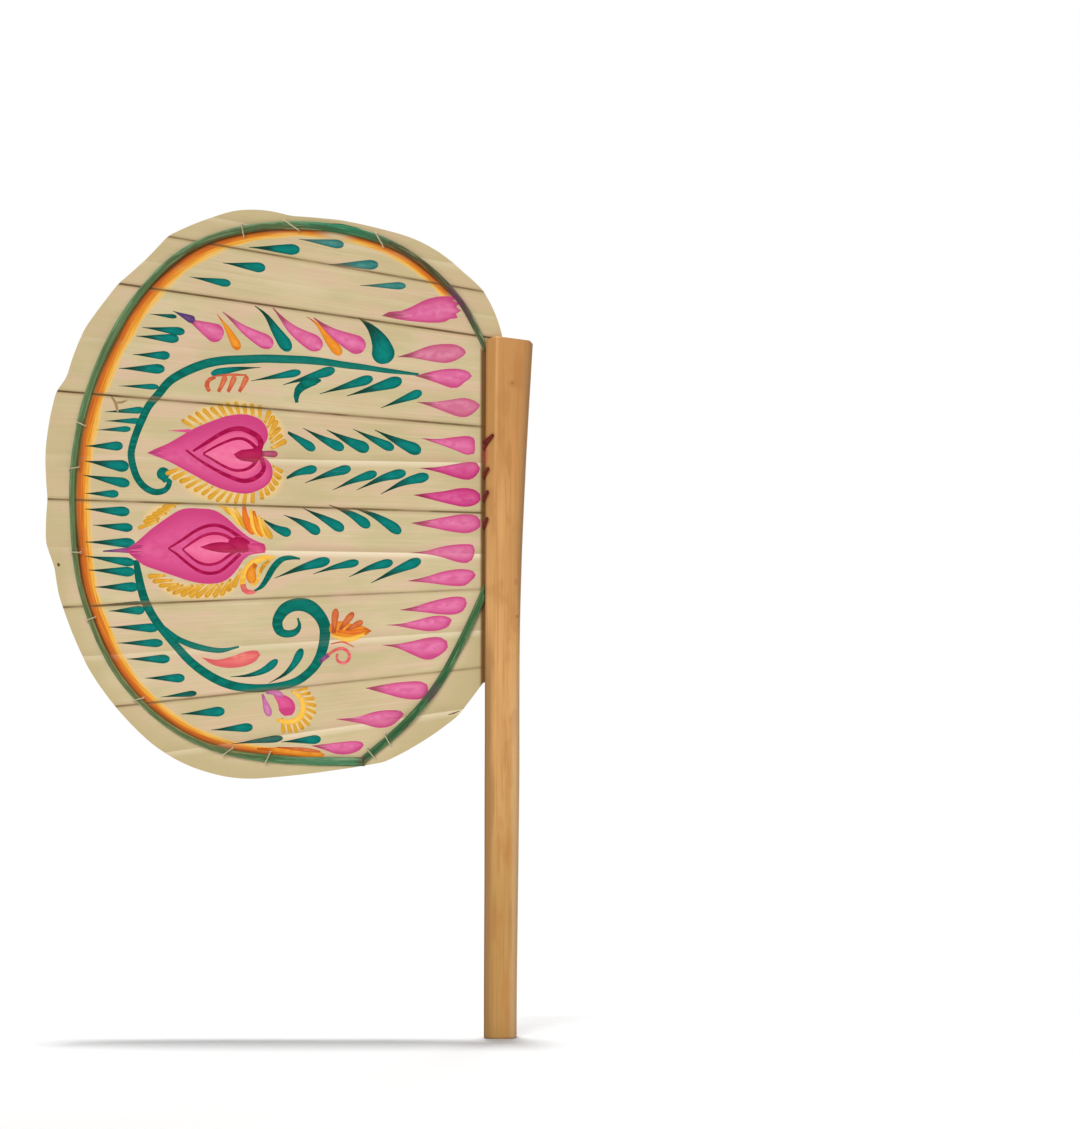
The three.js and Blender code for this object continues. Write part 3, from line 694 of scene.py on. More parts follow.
class LeafShader(Shader):
    """A material on the leaf, with the leaf's fibres, ground colour and folds."""

    def __init__(self, name, roughness, gloss):
        super().__init__(name, roughness, gloss=gloss)
        self.reach, self.across = self.uv("Leaf")
        self.fine = self.grain(self.reach, self.across, 0.0, (0.02, 2.2, 1), 3)
        self.coarse = self.grain(self.reach, self.across, 3.0, (0.012, 0.7, 1), 2)

    def ground(self):
        """Colour of the bare dried leaf: straw, with rosy and greenish patches and fibres."""
        broad = self.grain(self.reach, self.across, 1.0, (0.018, 0.05, 1), 3)
        tint = self.grain(self.reach, self.across, 5.0, (0.03, 0.12, 1), 2)
        edge, tone, _ = self.attribute("leaf_tone")
        straw = ((0.3, (196, 178, 136)), (0.5, (205, 186, 147)), (0.7, (213, 195, 157)))
        return self.tints(
            self.shades(broad, *straw),
            (self.span(tint, 0.46, 0.66, 0.0, 0.75), (216, 183, 156)),
            (self.span(tint, 0.5, 0.32, 0.0, 0.5), (190, 181, 132)),
            (self.times(tone, 0.35), (196, 174, 126)),
            (self.span(self.fine, 0.35, 0.65, 0.16, 0.0), (168, 142, 98)),
            (self.span(self.coarse, 0.5, 0.75, 0.0, 0.2), (224, 208, 176)),
            (self.times(edge, self.span(self.across, 110, 50, 0.45, 0.95)), (188, 170, 126)),
        )

    def folded(self, colour, painted_light_kept, painted_shade_kept):
        """Adds the dark line along each fold, with painted crease shade around it, and the painted
        light below and painted shade above each valley.
        """
        crest, valley = self.uv("Fold")
        line, below, above = self.attribute("fold_line_and_shade")
        worn = self.grain(self.reach, self.across, 7.0, (0.05, 0.2, 1), 2)
        worn = self.span(worn, 0.3, 0.6, 0.55, 1.0)
        return self.tints(
            colour,
            # Painted light below each valley and painted shade above it, as a light from above
            # would give
            (self.times(self.span(valley, 0.2, 4.0, painted_light_kept, 0.0), below), (243, 228, 198)),
            (self.times(self.span(valley, 0.0, 5.0, painted_shade_kept, 0.0), above), (150, 126, 84)),
            # Soft painted shade around each near fold, then the crease's own thin dark line, broken
            # here and there
            (self.times(self.span(crest, 0.4, 2.2, 0.42, 0.0), line), (150, 120, 76)),
            (self.times(self.span(crest, 0.2, 0.8, 1.0, 0.0), line, worn), (92, 68, 36)),
        )

    def leaf_finish(self, colour, relief=0.03):
        return self.finish(colour, self.add(self.fine, self.coarse), relief)


def leaf_material():
    """Bare leaf, with painted contact shade and dirt beside the handle and a run of red below the
    head.
    """
    shader = LeafShader("dried_leaf", 0.72, 0.2)
    colour = shader.folded(shader.ground(), 0.7, 0.3)
    _, _, z = shader.position()
    # Painted contact shade, with some dirt, along the kerf's mouth up to the head
    kerf_shade_and_dirt = shader.times(
        shader.span(shader.reach, 1.3, 3.0, 0.95, 0.0),
        shader.span(z, KERF_FOOT + 170, KERF_FOOT + 175, 1.0, 0.0),
    )
    run = shader.times(
        shader.span(z, KERF_FOOT + 112, KERF_FOOT + 116),
        shader.span(z, KERF_FOOT + 123, KERF_FOOT + 128, 1.0, 0.0),
        shader.span(shader.reach, 0.8, 1.9, 0.75, 0.0),
    )
    return shader.leaf_finish(shader.tints(colour, (kerf_shade_and_dirt, (102, 62, 10)), (run, (146, 66, 50))))


def paint_material(name, tip_end, tip, body, light, edge):
    """Brushed water paint: a darker tip and edge, a paler middle, fibres showing through."""
    shader = LeafShader("paint_" + name, 0.7, 0.02)
    span = shader.span
    share, across = shader.uv("Shape")
    along, side = shader.uv("Brush")
    streak = shader.grain(along, side, 2.0, (0.12, 1.6, 1), 3)
    pool = shader.grain(along, side, 9.0, (0.22, 0.3, 1), 2)
    wander = shader.add(share, span(streak, 0.3, 0.7, -0.1, 0.1))
    grow = span(wander, tip_end * 0.35, tip_end)
    middle = shader.times(span(across, 0.1, 0.8, 0.7, 0.0), span(pool, 0.35, 0.65), grow)
    colour = shader.tints(
        shader.blend(grow, srgb(*tip), srgb(*body)),
        (middle, light),
        (span(across, 0.55, 1.0, 0.0, 0.75), edge),
        (span(streak, 0.42, 0.25, 0.0, 0.3), edge),
        (shader.times(span(shader.fine, 0.64, 0.78), 0.15), (212, 191, 150)),
    )
    return shader.leaf_finish(shader.folded(colour, 0.08, 0.12), 0.02)


def wash_material():
    """Thin golden colour that fades out at its edge, under the fringes."""
    shader = LeafShader("paint_wash", 0.68, 0.15)
    _, across = shader.uv("Shape")
    cover = shader.span(across, 0.25, 1.0, 0.7, 0.0)
    colour = shader.tints(shader.ground(), (cover, (234, 198, 126)))
    return shader.leaf_finish(shader.folded(colour, 0.5, 0.4))


def band_material():
    """The wash beside the hoop: brown and rust at the hoop, orange, then yellow into the leaf,
    with painted shade and stain along the hoop's inner edge.
    """
    shader = LeafShader("paint_rim_band", 0.66, 0.12)
    span = shader.span
    inside, share = shader.uv("Shape")
    along, inward = shader.uv("Brush")
    streak = shader.grain(along, inward, 2.0, (0.05, 1.3, 1), 3)
    wander = shader.add(share, span(streak, 0.3, 0.7, -0.13, 0.13))
    colour = shader.shades(
        wander,
        (0.06, (140, 84, 32)),
        (0.2, (182, 90, 32)),
        (0.4, (204, 106, 30)),
        (0.58, (218, 132, 38)),
        (0.74, (232, 170, 62)),
        (0.94, (234, 194, 112)),
    )
    # Painted shade, with some stain, under the hoop's inner edge, strongest over the top
    dark = shader.times(span(inward, 1.4, 2.9, 0.85, 0.0), span(along, 200, 230, 1.0, 0.3))
    ragged = shader.add(inward, span(streak, 0.3, 0.7, -0.4, 0.4))
    smear = shader.times(
        span(ragged, 1.9, 3.0, 0.75, 0.0), span(along, 200, 250), span(along, 320, 360, 1.0, 0.0)
    )
    colour = shader.tints(colour, (dark, (92, 62, 22)), (smear, (156, 136, 78)))
    cover = shader.times(span(wander, 0.8, 1.04, 1.0, 0.0), inside)
    colour = shader.blend(cover, shader.ground(), colour)
    return shader.leaf_finish(shader.folded(colour, 0.3, 0.35))


def stroke_material(name):
    special = {"wash": wash_material, "rim_band": band_material}
    if name in special:
        return special[name]()
    return paint_material(name, *PAINTS[name])


# Strokes of paint

strokes = []


class Stroke:
    """A patch of paint: its outline as simple loops, its spine and its half width."""

    def __init__(self, paint, spine, loops, half=None):
        self.paint = paint
        self.spine = spine
        self.loops = loops
        self.half = half
        self.shift = len(strokes) * 37.0

    def local(self, place):
        """Share along, share from spine to edge, and both in millimetres."""
        along, offset = self.spine.nearest(place)
        if self.half is not None:
            across = ramp(abs(offset) / max(self.half(along), 1e-3))
        else:
            across = abs(offset) / (abs(offset) + edge_gap(place, self.loops[0]) + 1e-6)
        return along / self.spine.length, across, along + self.shift, offset


class Band(Stroke):
    """A wash beside the hoop, on its inside, from one distance along it to another."""

    def __init__(self, start, end):
        self.ends = (start, end)
        count = round((end - start) / BAND_STEP)
        outer = []
        inner = []
        for i in range(count + 1):
            distance = mix(start, end, i / count)
            point, direction = hoop_path.at(distance)
            outer.append(point - turned_left(direction) * BAND_NEAR)
            inner.append(point - turned_left(direction) * band_width(distance))
        loops = [[outer[i], outer[i + 1], inner[i + 1], inner[i]] for i in range(count)]
        super().__init__("rim_band", hoop_coarse, loops)

    def local(self, place):
        """Fade at the ends, share across, distance along the hoop and inward from it."""
        along, offset = hoop_coarse.nearest(place)
        start, end = self.ends
        fade = smooth(min(along - start, end - along) / BAND_FADE)
        share = (-offset - BAND_NEAR) / (band_width(along) - BAND_NEAR)
        return fade, ramp(share), along, -offset


def sides_loop(spine, half, distances):
    """Outline of a stroke from its spine and half width."""
    left = []
    right = []
    for distance in distances:
        point, direction = spine.at(distance)
        offset = turned_left(direction) * half(distance)
        left.append(point + offset)
        right.append(point - offset)
    return left + right[::-1]


def drop(paint, width, *points, tip=0.06, belly=0.82):
    """A brush drop: a fine tip that widens evenly to a blunt round head."""
    spine = Path(points, 2.0)
    length = spine.length
    knee = max(length * 0.35, min(length * belly, length - width * 0.5))

    def half(distance):
        if distance > knee:
            rest = ramp((distance - knee) / (length - knee))
            return width / 2 * (1 - rest**2.1) ** (1 / 2.1)
        grow = distance / knee
        return width / 2 * mix(tip, 1, grow**1.5 * (1.6 - 0.6 * grow))

    distances = [knee * i / 9 for i in range(9)]
    distances += [mix(knee, length, math.sin(math.pi / 2 * i / 6)) for i in range(6)]
    loop = sides_loop(spine, half, distances)
    loop.insert(len(distances), spine.points[-1].copy())
    strokes.append(Stroke(paint, spine, [loop], half))


def petal(paint, *points):
    """A closed patch: a sharp tip first, then its smooth outline."""
    outline = Path([*points, points[0]], 2.5).points[:-1]
    tip = outline[0]
    far = max(outline, key=lambda point: (point - tip).length)
    spine = Path([tip, tip.lerp(far, 0.5), tip.lerp(far, 0.9)], 4)
    strokes.append(Stroke(paint, spine, [outline]))


def stem(paint, widths, *points):
    """A long stroke whose width follows a list from start to end."""
    spine = Path(points, 1.6)

    def half(distance):
        low, high, past = along_list(widths, ramp(distance / spine.length))
        return mix(low, high, smooth(past)) / 2

    count = len(spine.points) - 1
    corners = sides_loop(spine, half, [spine.length * i / count for i in range(count + 1)])
    loops = [[corners[i], corners[i + 1], corners[-i - 2], corners[-i - 1]] for i in range(count)]
    strokes.append(Stroke(paint, spine, loops, half))


def fringe(paint, spacing, length, width, angles, *points, seed=1, wash=12):
    """Short wedges side by side along a path, over a thin wash. The angles say which way, as
    seen from the front, their thick ends point from the start of the path to its end."""
    path = Path(points, 1.0)
    chance = random.Random(seed)
    count = round(path.length / spacing)
    stem("wash", (wash * 0.6, wash, wash, wash * 0.6), *points)
    for i in range(count + 1):
        centre, _ = path.at(path.length * i / count)
        angle = math.radians(mix(*along_list(angles, i / count))) + chance.uniform(-0.1, 0.1)
        reach = Vector((-math.cos(angle), math.sin(angle))) * length / 2
        reach *= chance.uniform(0.85, 1.15)
        size = width * chance.uniform(0.85, 1.15)
        drop(paint, size, centre - reach * 1.7, centre + reach, tip=0.5, belly=0.82)


def band_width(distance):
    """How far inward the wash beside the hoop reaches. It is widest down the left."""
    hump = smooth((distance - 130) / 60) * smooth((500 - distance) / 170)
    return 6.2 + 3.2 * hump


def paint_bands():
    """The wash in two stretches, and a spill of green paint inside the top of the hoop."""
    strokes.append(Band(BAND_START, BAND_JOIN))
    strokes.append(Band(BAND_JOIN, hoop_path.length - BAND_SHORT))
    spill = []
    for distance in range(90, 119, 4):
        point, direction = hoop_path.at(distance)
        spill.append(point + turned_left(direction) * 1.2)
    stem("moss", (0.8, 2.8, 3.2, 2, 0.6), *spill)


def heart_line(*points, widths=(1, 1.7, 2, 2.4)):
    stem("crimson", widths, *points)


def paint_upper_heart():
    fringe("gold", 3.8, 6.2, 2.1, (150, 142, 132, 118, 102, 90), (149, 134.4), (145.6, 136.3),
           (141.3, 138), (135, 140.2), (130.6, 141.4), (123.8, 142), (116.9, 141.2),
           (112.5, 140.2), seed=3)
    fringe("gold", 3.2, 6.2, 2.6, (70, 62, 50, 22), (108.4, 138.4), (106.5, 135.3),
           (104.8, 131.4), (103.6, 127.6), (102.2, 124.2), seed=4)
    fringe("gold", 4, 6.4, 2.2, (200, 204, 212, 226, 245, 262), (156.5, 110.2),
           (151.9, 107.4), (148.1, 104.9), (144.4, 102.6), (136.9, 99.2), (130, 97.2),
           (122, 96.8), (116, 97.4), seed=5)
    fringe("gold", 3.3, 5.2, 2.4, (280, 295, 310, 330), (111.5, 98.4), (107.2, 101.8),
           (104.6, 106), (103, 111), seed=9)
    petal(
        "heart", (169, 119.5), (165, 121.5), (158, 124.5), (152, 128), (145, 131.9),
        (135, 136), (128.3, 138.1), (121, 138.9), (116.5, 138.1), (111.5, 135.6),
        (108.8, 131.3), (108.5, 127.3), (110.2, 123.9), (111.6, 121.8), (111.8, 118.6),
        (108.5, 115.9), (106.5, 112.5), (106.3, 107.5), (108.8, 103.5), (114.9, 100.1),
        (119.9, 99.1), (128.3, 100.5), (135, 102.8), (145, 108.2), (152, 112), (158, 115.2),
        (165, 118),
    )
    drop("heart", 1.8, (158.5, 130.6), (152, 130.6), (146, 130.4), tip=0.1)
    petal(
        "blush", (142, 119.3), (138.3, 123.4), (131.6, 127.6), (124, 129.8), (117.5, 128),
        (113.6, 123.5), (112.6, 119.4), (113, 113.5), (116.5, 108.6), (121.5, 107.2),
        (128, 109.8), (135, 114.4),
    )
    heart_line((146, 120.4), (138.3, 125.2), (131.6, 129.3), (126.6, 131.3), (121.6, 131.6),
               (116.5, 129.6), (113.2, 127.3), (111.9, 124.2), (112.9, 121.2),
               widths=(1.2, 2, 2.2, 2.6, 2.9))
    heart_line((149.5, 121), (145, 117.5), (138.3, 113.2), (131.6, 109.5), (126.6, 107.2),
               (120.9, 105.5), (116.5, 106.2), (112.2, 108.8), (110.5, 112.2),
               (111.8, 116.8), widths=(1, 1.5, 2, 2.4, 2.2))
    inner = (1, 1.3, 1.5, 1.9)
    heart_line((141, 119.2), (135, 122.6), (129.9, 124.9), (124.9, 126.6), (120.9, 126.6),
               (117.5, 124.9), (114, 121.6), widths=inner)
    heart_line((141, 119), (136.6, 116.5), (131.6, 113.5), (126.6, 111.2), (123.2, 110.7),
               (118.9, 111.5), (115.9, 113.5), (114, 116.2), widths=inner)
    petal("crimson", (125.8, 118.9), (121.6, 121.1), (116.5, 121.6), (113.4, 122.8),
          (111.2, 120.6), (111.2, 118), (114.2, 115), (118.2, 115.2), (122.2, 115.8),
          (124.4, 117.2))
    drop("stub", 3.4, (111.3, 119.2), (103.6, 118.9), tip=0.8, belly=0.7)


def paint_lower_heart():
    fringe("gold", 3.4, 7.6, 2.1, (196, 190), (169.6, 83.2), (167.5, 86), (164.2, 88.7),
           (160.8, 91), (158, 93.2), seed=6)
    fringe("gold", 3.7, 7.6, 2.6, (186, 191, 204, 222, 230, 238, 247), (165.2, 58),
           (162.4, 55.6), (159, 53.2), (155.5, 51.7), (151.2, 50.5), (144.2, 49.9),
           (135.8, 50), (131.5, 50.8), (127.4, 52.6), (124.2, 55.6), seed=7)
    drop("mauve", 3.6, (191, 70.4), (182, 70.8), (172, 71), tip=0.2, belly=0.9)
    petal(
        "heart", (180, 70.9), (174.2, 75), (166.7, 81.5), (158.5, 87.4), (153.1, 90.7),
        (149.3, 91.8), (142.8, 91.8), (135.2, 90.9), (128.7, 86.8), (123.3, 81.7),
        (117.9, 77.4), (113.5, 75.2), (110.2, 74), (109.9, 69.6), (113.5, 69.2), (117.9, 68.3),
        (120.6, 66.1), (123.3, 62), (127.1, 57.6), (131.4, 54.9), (139.6, 54.1), (147.7, 55.5),
        (155.8, 58.2), (163.9, 60.9), (171, 63.6), (175, 66.8),
    )
    petal(
        "blush", (151.5, 71.4), (146.5, 75), (141, 78), (134.8, 79.4), (129, 77.5),
        (124.6, 74.6), (123, 72), (126, 69), (132.5, 65), (138.3, 63.8), (144, 65.8),
        (148.2, 68.8),
    )
    heart_line((158.5, 71.7), (151.5, 76), (145, 80.4), (139.6, 82.8), (134.1, 83.4),
               (128.7, 81.5), (123.3, 77.9), (118, 74.2), widths=(1, 1.5, 1.7, 1.8, 2.2))
    heart_line((158.2, 71.7), (154.2, 69), (147.7, 63.6), (142.3, 60.3), (137.4, 59.3),
               (132.5, 60.3), (127.6, 64.1), (122.3, 69.2), widths=(1, 1.5, 1.7, 1.7, 1.8))
    heart_line((151.5, 71.2), (146.1, 75), (140.6, 78.2), (135.2, 79.3), (129.8, 78.2),
               (123, 73.8), widths=(0.9, 1.4, 1.5, 1.8))
    heart_line((151.2, 71.2), (148.2, 68.5), (143.9, 65.2), (138.5, 63.6), (133.1, 64.7),
               (127.6, 68.5), (123.5, 70.8), widths=(0.9, 1.4, 1.4, 1.4))
    petal("crimson", (142.6, 72.4), (137, 74.4), (131.6, 75), (126.4, 74.6), (122, 75.2),
          (118, 73.4), (116, 71.6), (119, 70), (124, 69.8), (130, 69.6), (136, 70.4))
    petal("crimson", (128.5, 75.4), (124.5, 77.6), (121, 76.8), (117.5, 74.2), (115.8, 72),
          (117.5, 70.3), (121, 69.6), (124.5, 70.2), (126, 72))
    petal("magenta", (119, 73.9), (115, 74.3), (110.9, 74), (110, 71.8), (110.6, 69.5),
          (115, 69.7), (118.2, 70.4))


def paint_orange_sprays():
    """Thick orange and yellow strokes at the lower heart's right shoulder, and its curl."""
    stem("wash", (3, 8, 9, 8, 3), (127, 92), (121, 87), (116, 83.5), (111.5, 80), (107, 78))
    shoulder = [
        ("gold", 2.4, (133.4, 93.4), (130, 91.8), (126.4, 88.6)),
        ("yellow", 3, (128.7, 92.6), (125.8, 88.7), (121.2, 82.8)),
        ("gold", 3.2, (125, 92.6), (122.8, 87.3), (118, 80.8)),
        ("rust", 4.6, (120.4, 92.8), (119.5, 86.7), (115.4, 78.8)),
        ("yellow", 3, (117, 91.4), (116.2, 84.7), (112.9, 77.8)),
        ("orange", 3.4, (115.6, 90.6), (114, 84), (110.9, 77.6)),
        ("yellow", 2.6, (113.2, 88.6), (111.7, 82.7), (108.7, 76.8)),
        ("gold", 3.2, (111.4, 86.6), (109.6, 81.6), (106.4, 76.6)),
    ]
    for paint, width, *points in shoulder:
        drop(paint, width, *points, tip=0.4, belly=0.7)
    stem("yellow", (1.6, 3, 3.6, 3.2, 2.8), (105.2, 67.4), (109.5, 67.2), (113.5, 66),
         (118.2, 62.4), (120.8, 57.5), (121.2, 52.5))
    stem("rose", (2.8, 3, 2.4, 1), (121, 54), (120, 50.8), (117, 49.8), (114, 50.4))
    stem("yellow", (1, 1.6, 1.6, 1), (113.4, 62), (113, 58), (114.2, 54.6), (117, 53))
    drop("orange", 5.2, (114.5, 64), (116.8, 60.5), (116.3, 54.2), tip=0.45, belly=0.6)
    stem("gold", (1.4, 2.2, 1.4), (107.4, 66), (110.8, 63), (112.4, 59.4))
    stem("scroll", (1, 2.6, 3.2, 3.2, 2.4, 1), (115.2, 50.6), (112, 52.4), (109, 56.6),
         (105.8, 62.2), (101.5, 66.4), (97, 67.2), (92.5, 66.6))


def paint_stems():
    stem("scroll", (1.4, 2.6, 3.4, 4, 4.2, 4.4, 4.6, 4.2, 3.8, 3.6, 3.4, 2.6),
         (33, 158.7), (40, 159.6), (50, 160.8), (60, 162.3), (70, 163.5), (80, 165),
         (90, 166), (100, 166.4), (110, 166.7), (120, 166.3), (131, 165.7), (140, 164),
         (150, 160), (158, 155), (163, 149), (168, 143), (171, 137), (174, 130), (176, 124),
         (177, 119), (176, 113), (173.5, 106.5), (169.5, 102), (164.5, 99.9), (159.5, 101.2),
         (157.6, 104.6), (158.6, 108.6))
    drop("scroll", 6.8, (159, 105), (160.3, 108.5), (163.5, 111), tip=0.5, belly=0.5)
    stem("scroll", (3, 4, 4.4, 4.2, 4, 4, 4.2, 4.4, 4.4, 4.2, 4, 4, 4.2, 4.8, 5.2, 6, 6.8,
                    6.2, 5.2, 3.6, 1),
         (174.5, 66), (172.5, 55), (170, 46), (166, 38), (161, 31), (155, 23.7), (148, 16),
         (140, 9.7), (132, 5.3), (124, 2.8), (112.5, 1.9), (101.7, 3.1), (94.6, 5.2),
         (89.2, 8.7), (84.3, 14.1), (81.3, 21.2), (80.1, 28.2), (80.2, 33.1), (82.9, 38.5),
         (88.1, 42.9), (94.6, 43.7), (100.5, 41), (103.8, 34.7), (102.2, 30), (98.4, 29),
         (94.4, 30.2), (92.6, 33.1), (93.6, 37))
    stem("scroll", (1.2, 2.8, 3.2, 2.6, 1), (163, 35), (155, 27.5), (148, 24), (140, 21.7),
         (132, 20.8), (123, 22.6))
    stem("scroll", (1.4, 3.6, 5, 4.4, 3, 1.6), (82, 156), (86, 154.8), (90, 153.8),
         (93, 151.2), (94.2, 148), (94, 144.6))
    drop("teal", 4, (127.5, 7.6), (118, 8.4), (110, 11), (103.6, 16.2))
    drop("teal", 4.2, (108, 4.5), (100, 9), (95, 14.5), (91.4, 21.8))
    petal("rose", (142, 17.5), (134, 16.2), (126, 18), (118, 20.6), (113.5, 20.6),
          (112.3, 18.5), (114.5, 15.5), (120, 13), (128, 12), (136, 13.6))
    stem("coral", (1.6, 2.2, 2.5, 1.8), (134.6, 157.4), (138.2, 155.8), (139, 152.8),
         (137.6, 150.2))
    for top, foot in ((129.6, 133.2), (125, 128.4), (118.8, 122.8)):
        drop("coral", 2.9, (foot, 150), (mix(top, foot, 0.5), 153.6), (top, 158),
             tip=0.6, belly=0.8)
    stem("coral", (0.8, 1.3, 0.8), (134.5, 158), (127, 158.6), (119, 158.4))


def paint_small_flowers():
    petal("orange", (56.6, 30.6), (61, 33), (66, 33.8), (71, 35.4), (76.8, 34.4),
          (77.8, 30.4), (74, 27.2), (68, 25.6), (62, 27))
    drop("brick", 3.6, (75.6, 29.5), (75.2, 35), (74.4, 41.8), tip=0.6, belly=0.7)
    drop("brick", 3.4, (72.6, 31), (69.6, 35), (65.6, 39.8), tip=0.5, belly=0.7)
    drop("brick", 3.2, (69.4, 30.6), (65.8, 32.8), (61, 35.4), tip=0.5, belly=0.7)
    drop("rust", 2.4, (74, 30.4), (67, 29.8), (60, 30.8), tip=0.5, belly=0.6)
    stem("yellow", (1.2, 2.6, 1.6), (76.6, 28.2), (68.4, 26.2), (60, 28.8))
    stem("mauve", (1.8, 2.2), (82.5, 15), (78, 18.8))
    stem("rose", (1.5, 1.7, 1.7, 1.6, 1.2), (78.4, 18.6), (74.5, 21.2), (70.7, 21.7),
         (68, 19.5), (67.8, 16.8), (69.7, 14.7), (72.6, 14.8), (74.4, 17), (73.6, 19.2))
    stem("coral", (0.6, 0.9, 0.5), (77, 24), (71, 25), (65.5, 22.5))
    fringe("gold", 3.1, 5.6, 1.9, (15, -5, -35, -62, -85), (91.4, 1.4), (87.6, -3.2),
           (87, -8.6), (89.6, -14.4), (94, -17.6), (101, -17.8), seed=8, wash=7)
    stem("yellow", (1.4, 2.4, 2.8, 2.8, 2.4, 1.6), (96, 0.2), (92, -3.2), (90.8, -7.4),
         (92, -11.8), (95.6, -14.6), (100.4, -14.8), (104.2, -13.8))
    petal("heart", (106.4, -0.6), (102.4, -1), (99.5, -1.7), (96, -4.1), (94.7, -8.1),
          (96.6, -11.6), (100, -12), (102.9, -9.4), (103.4, -5.9))
    drop("orchid", 4, (111.2, -1), (109.6, -6), (107.6, -12.2), tip=0.3, belly=0.7)
    drop("orchid", 3.2, (109.4, -0.2), (105, -0.2), (100.6, -2.2), tip=0.5, belly=0.6)
    drop("orange", 4.2, (114, -28.4), (98, -29.4), (80, -31.6), tip=0.3, belly=0.6)
    drop("brick", 2, (104, -27.6), (92, -28.6), (82, -29.8), tip=0.3, belly=0.6)


def paint_wear():
    """Stains, a small hole and a split."""
    drop("umber", 1.3, (213.6, 64.4), (213.2, 63.8), (212.8, 62.8), tip=0.6, belly=0.5)
    drop("stain", 1.6, (187.6, 148.6), (184.8, 145), (183.4, 139.6), tip=0.5, belly=0.5)
    drop("stain", 1.4, (178.6, 146), (181.4, 144.8), (184.6, 144.6), tip=0.5, belly=0.5)
    stem("umber", (0.3, 0.7, 0.3), (18.4, -11.4), (15.6, -10.6), (12.6, -9.4))


def paint_all():
    paint_bands()
    for paint, width, *points in COMB + TOP_DROPS + STEM_LEAVES:
        drop(paint, width, *points)
    paint_stems()
    for width, *points in SPRAYS:
        drop("teal", width, *points)
    for number, outline in enumerate(PETALS):
        paint = "faded_pink" if number in FADED_PETALS else "pink"
        petal("deep_pink" if number in DEEP_PETALS else paint, *outline)
    paint_upper_heart()
    paint_lower_heart()
    paint_orange_sprays()
    paint_small_flowers()
    paint_wear()


# Leaf


def fold_height(fold, reach):
    return mix(fold[0], fold[1], reach / LEAF_REACH)


def panel_at(place):
    """The panel between two folds that a place lies on."""
    for i in range(1, len(FOLDS) - 1):
        if place.y >= fold_height(FOLDS[i], place.x):
            return i - 1
    return len(FOLDS) - 2


def panel_share(panel, place):
    """How far down from a panel's upper fold a place lies, from 0 to 1."""
    upper = fold_height(FOLDS[panel], place.x)
    lower = fold_height(FOLDS[panel + 1], place.x)
    return ramp((upper - place.y) / (upper - lower))


def pleat_depth(place):
    """How far the leaf stands away from its flat middle at a place."""
    panel = panel_at(place)
    share = panel_share(panel, place)
    upper = FOLDS[panel][2]
    lower = FOLDS[panel + 1][2]
    from_far = share if upper > lower else 1 - share
    arch = 1 - (1 - from_far) ** PLEAT_SHARPNESS
    fade = mix(PLEAT_LEFT_IN_KERF, 1, smooth(place.x / PLEAT_FADE))
    return PLEAT_HALF_DEPTH * fade * mix(max(upper, lower), min(upper, lower), arch)


def crest_groove(place):
    """How deep the pressed line along a near fold is at a place."""
    panel = panel_at(place)
    near_folds = [fold for fold in FOLDS[panel : panel + 2] if fold[2] < 0]
    gap = min((abs(place.y - fold_height(fold, place.x)) for fold in near_folds), default=1e9)
    return CREST_GROOVE * max(0.0, 1 - gap / CREST_GROOVE_HALF) * smooth(place.x / PLEAT_FADE)


def rim_outline():
    """The cut edge, with the small unevenness of a knife cut."""
    outline = []
    corners = [Vector(point[:2]) for point in RIM]
    for i, here in enumerate(corners):
        there = corners[(i + 1) % len(corners)]
        along = (there - here).normalized()
        control = here.lerp(there, 0.5) - turned_left(along) * 2 * RIM[i][2]
        count = max(1, round((there - here).length / RIM_STEP))
        for j in range(count):
            t = j / count
            point = here.lerp(control, t).lerp(control.lerp(there, t), t)
            if here.x > 0 and there.x > 0:
                shake = RIM_SHAKE * noise.noise(Vector((point.x * 0.45, point.y * 0.45, 2)))
                point = point + turned_left(along) * shake
            outline.append(point)
    for _ in range(RIM_ROUNDING):
        before = outline[-1:] + outline[:-1]
        after = outline[1:] + outline[:1]
        outline = [
            here if here.x < PLAIN_RIM_REACH else (here * 2 + last + following) / 4
            for last, here, following in zip(before, outline, after)
        ]
    return outline


def stitch_places():
    """Where each stitch crosses its strip: centre, direction across and reach to each side."""
    places = []
    jobs = [(hoop_path, hoop_width, *stitch) for stitch in HOOP_STITCHES]
    jobs += [(tail_path, tail_width, *stitch) for stitch in TAIL_STITCHES]
    for path, width_at, fraction, lean in jobs:
        centre, direction = path.at(path.length * fraction)
        angle = math.radians(lean)
        across = turned_left(direction) * math.cos(angle) - direction * math.sin(angle)
        reach = width_at(fraction) / 2 / math.cos(angle) + STITCH_DIAMETER / 2 + 2 * CLEARANCE
        places.append((centre, across, reach))
    return places


def left_edge(z):
    return HANDLE_LEAN * (z / HANDLE_LENGTH) - FOOT_WIDTH / 2


def right_edge(z):
    flare = ramp((z - HANDLE_LENGTH + HEAD_FLARE_LENGTH) / HEAD_FLARE_LENGTH)
    taper = FOOT_TAPER * smooth(z / FOOT_TAPER_LENGTH)
    return FOOT_WIDTH / 2 + taper + HEAD_FLARE * flare**HEAD_FLARE_POWER


def half_thickness(z):
    return mix(FOOT_THICKNESS, HEAD_THICKNESS, z / HANDLE_LENGTH) / 2


def lashing_places():
    """For each lashing: hole in the handle, and hole in the leaf, as x and z."""
    places = []
    for drop_down, inset, slant in LASHINGS:
        z = HANDLE_LENGTH - drop_down
        hole = Vector((left_edge(z) + inset, z))
        leaf_hole = Vector((left_edge(z) - CLEARANCE - LASHING_DIAMETER / 2, z - slant))
        places.append((hole, leaf_hole))
    return places


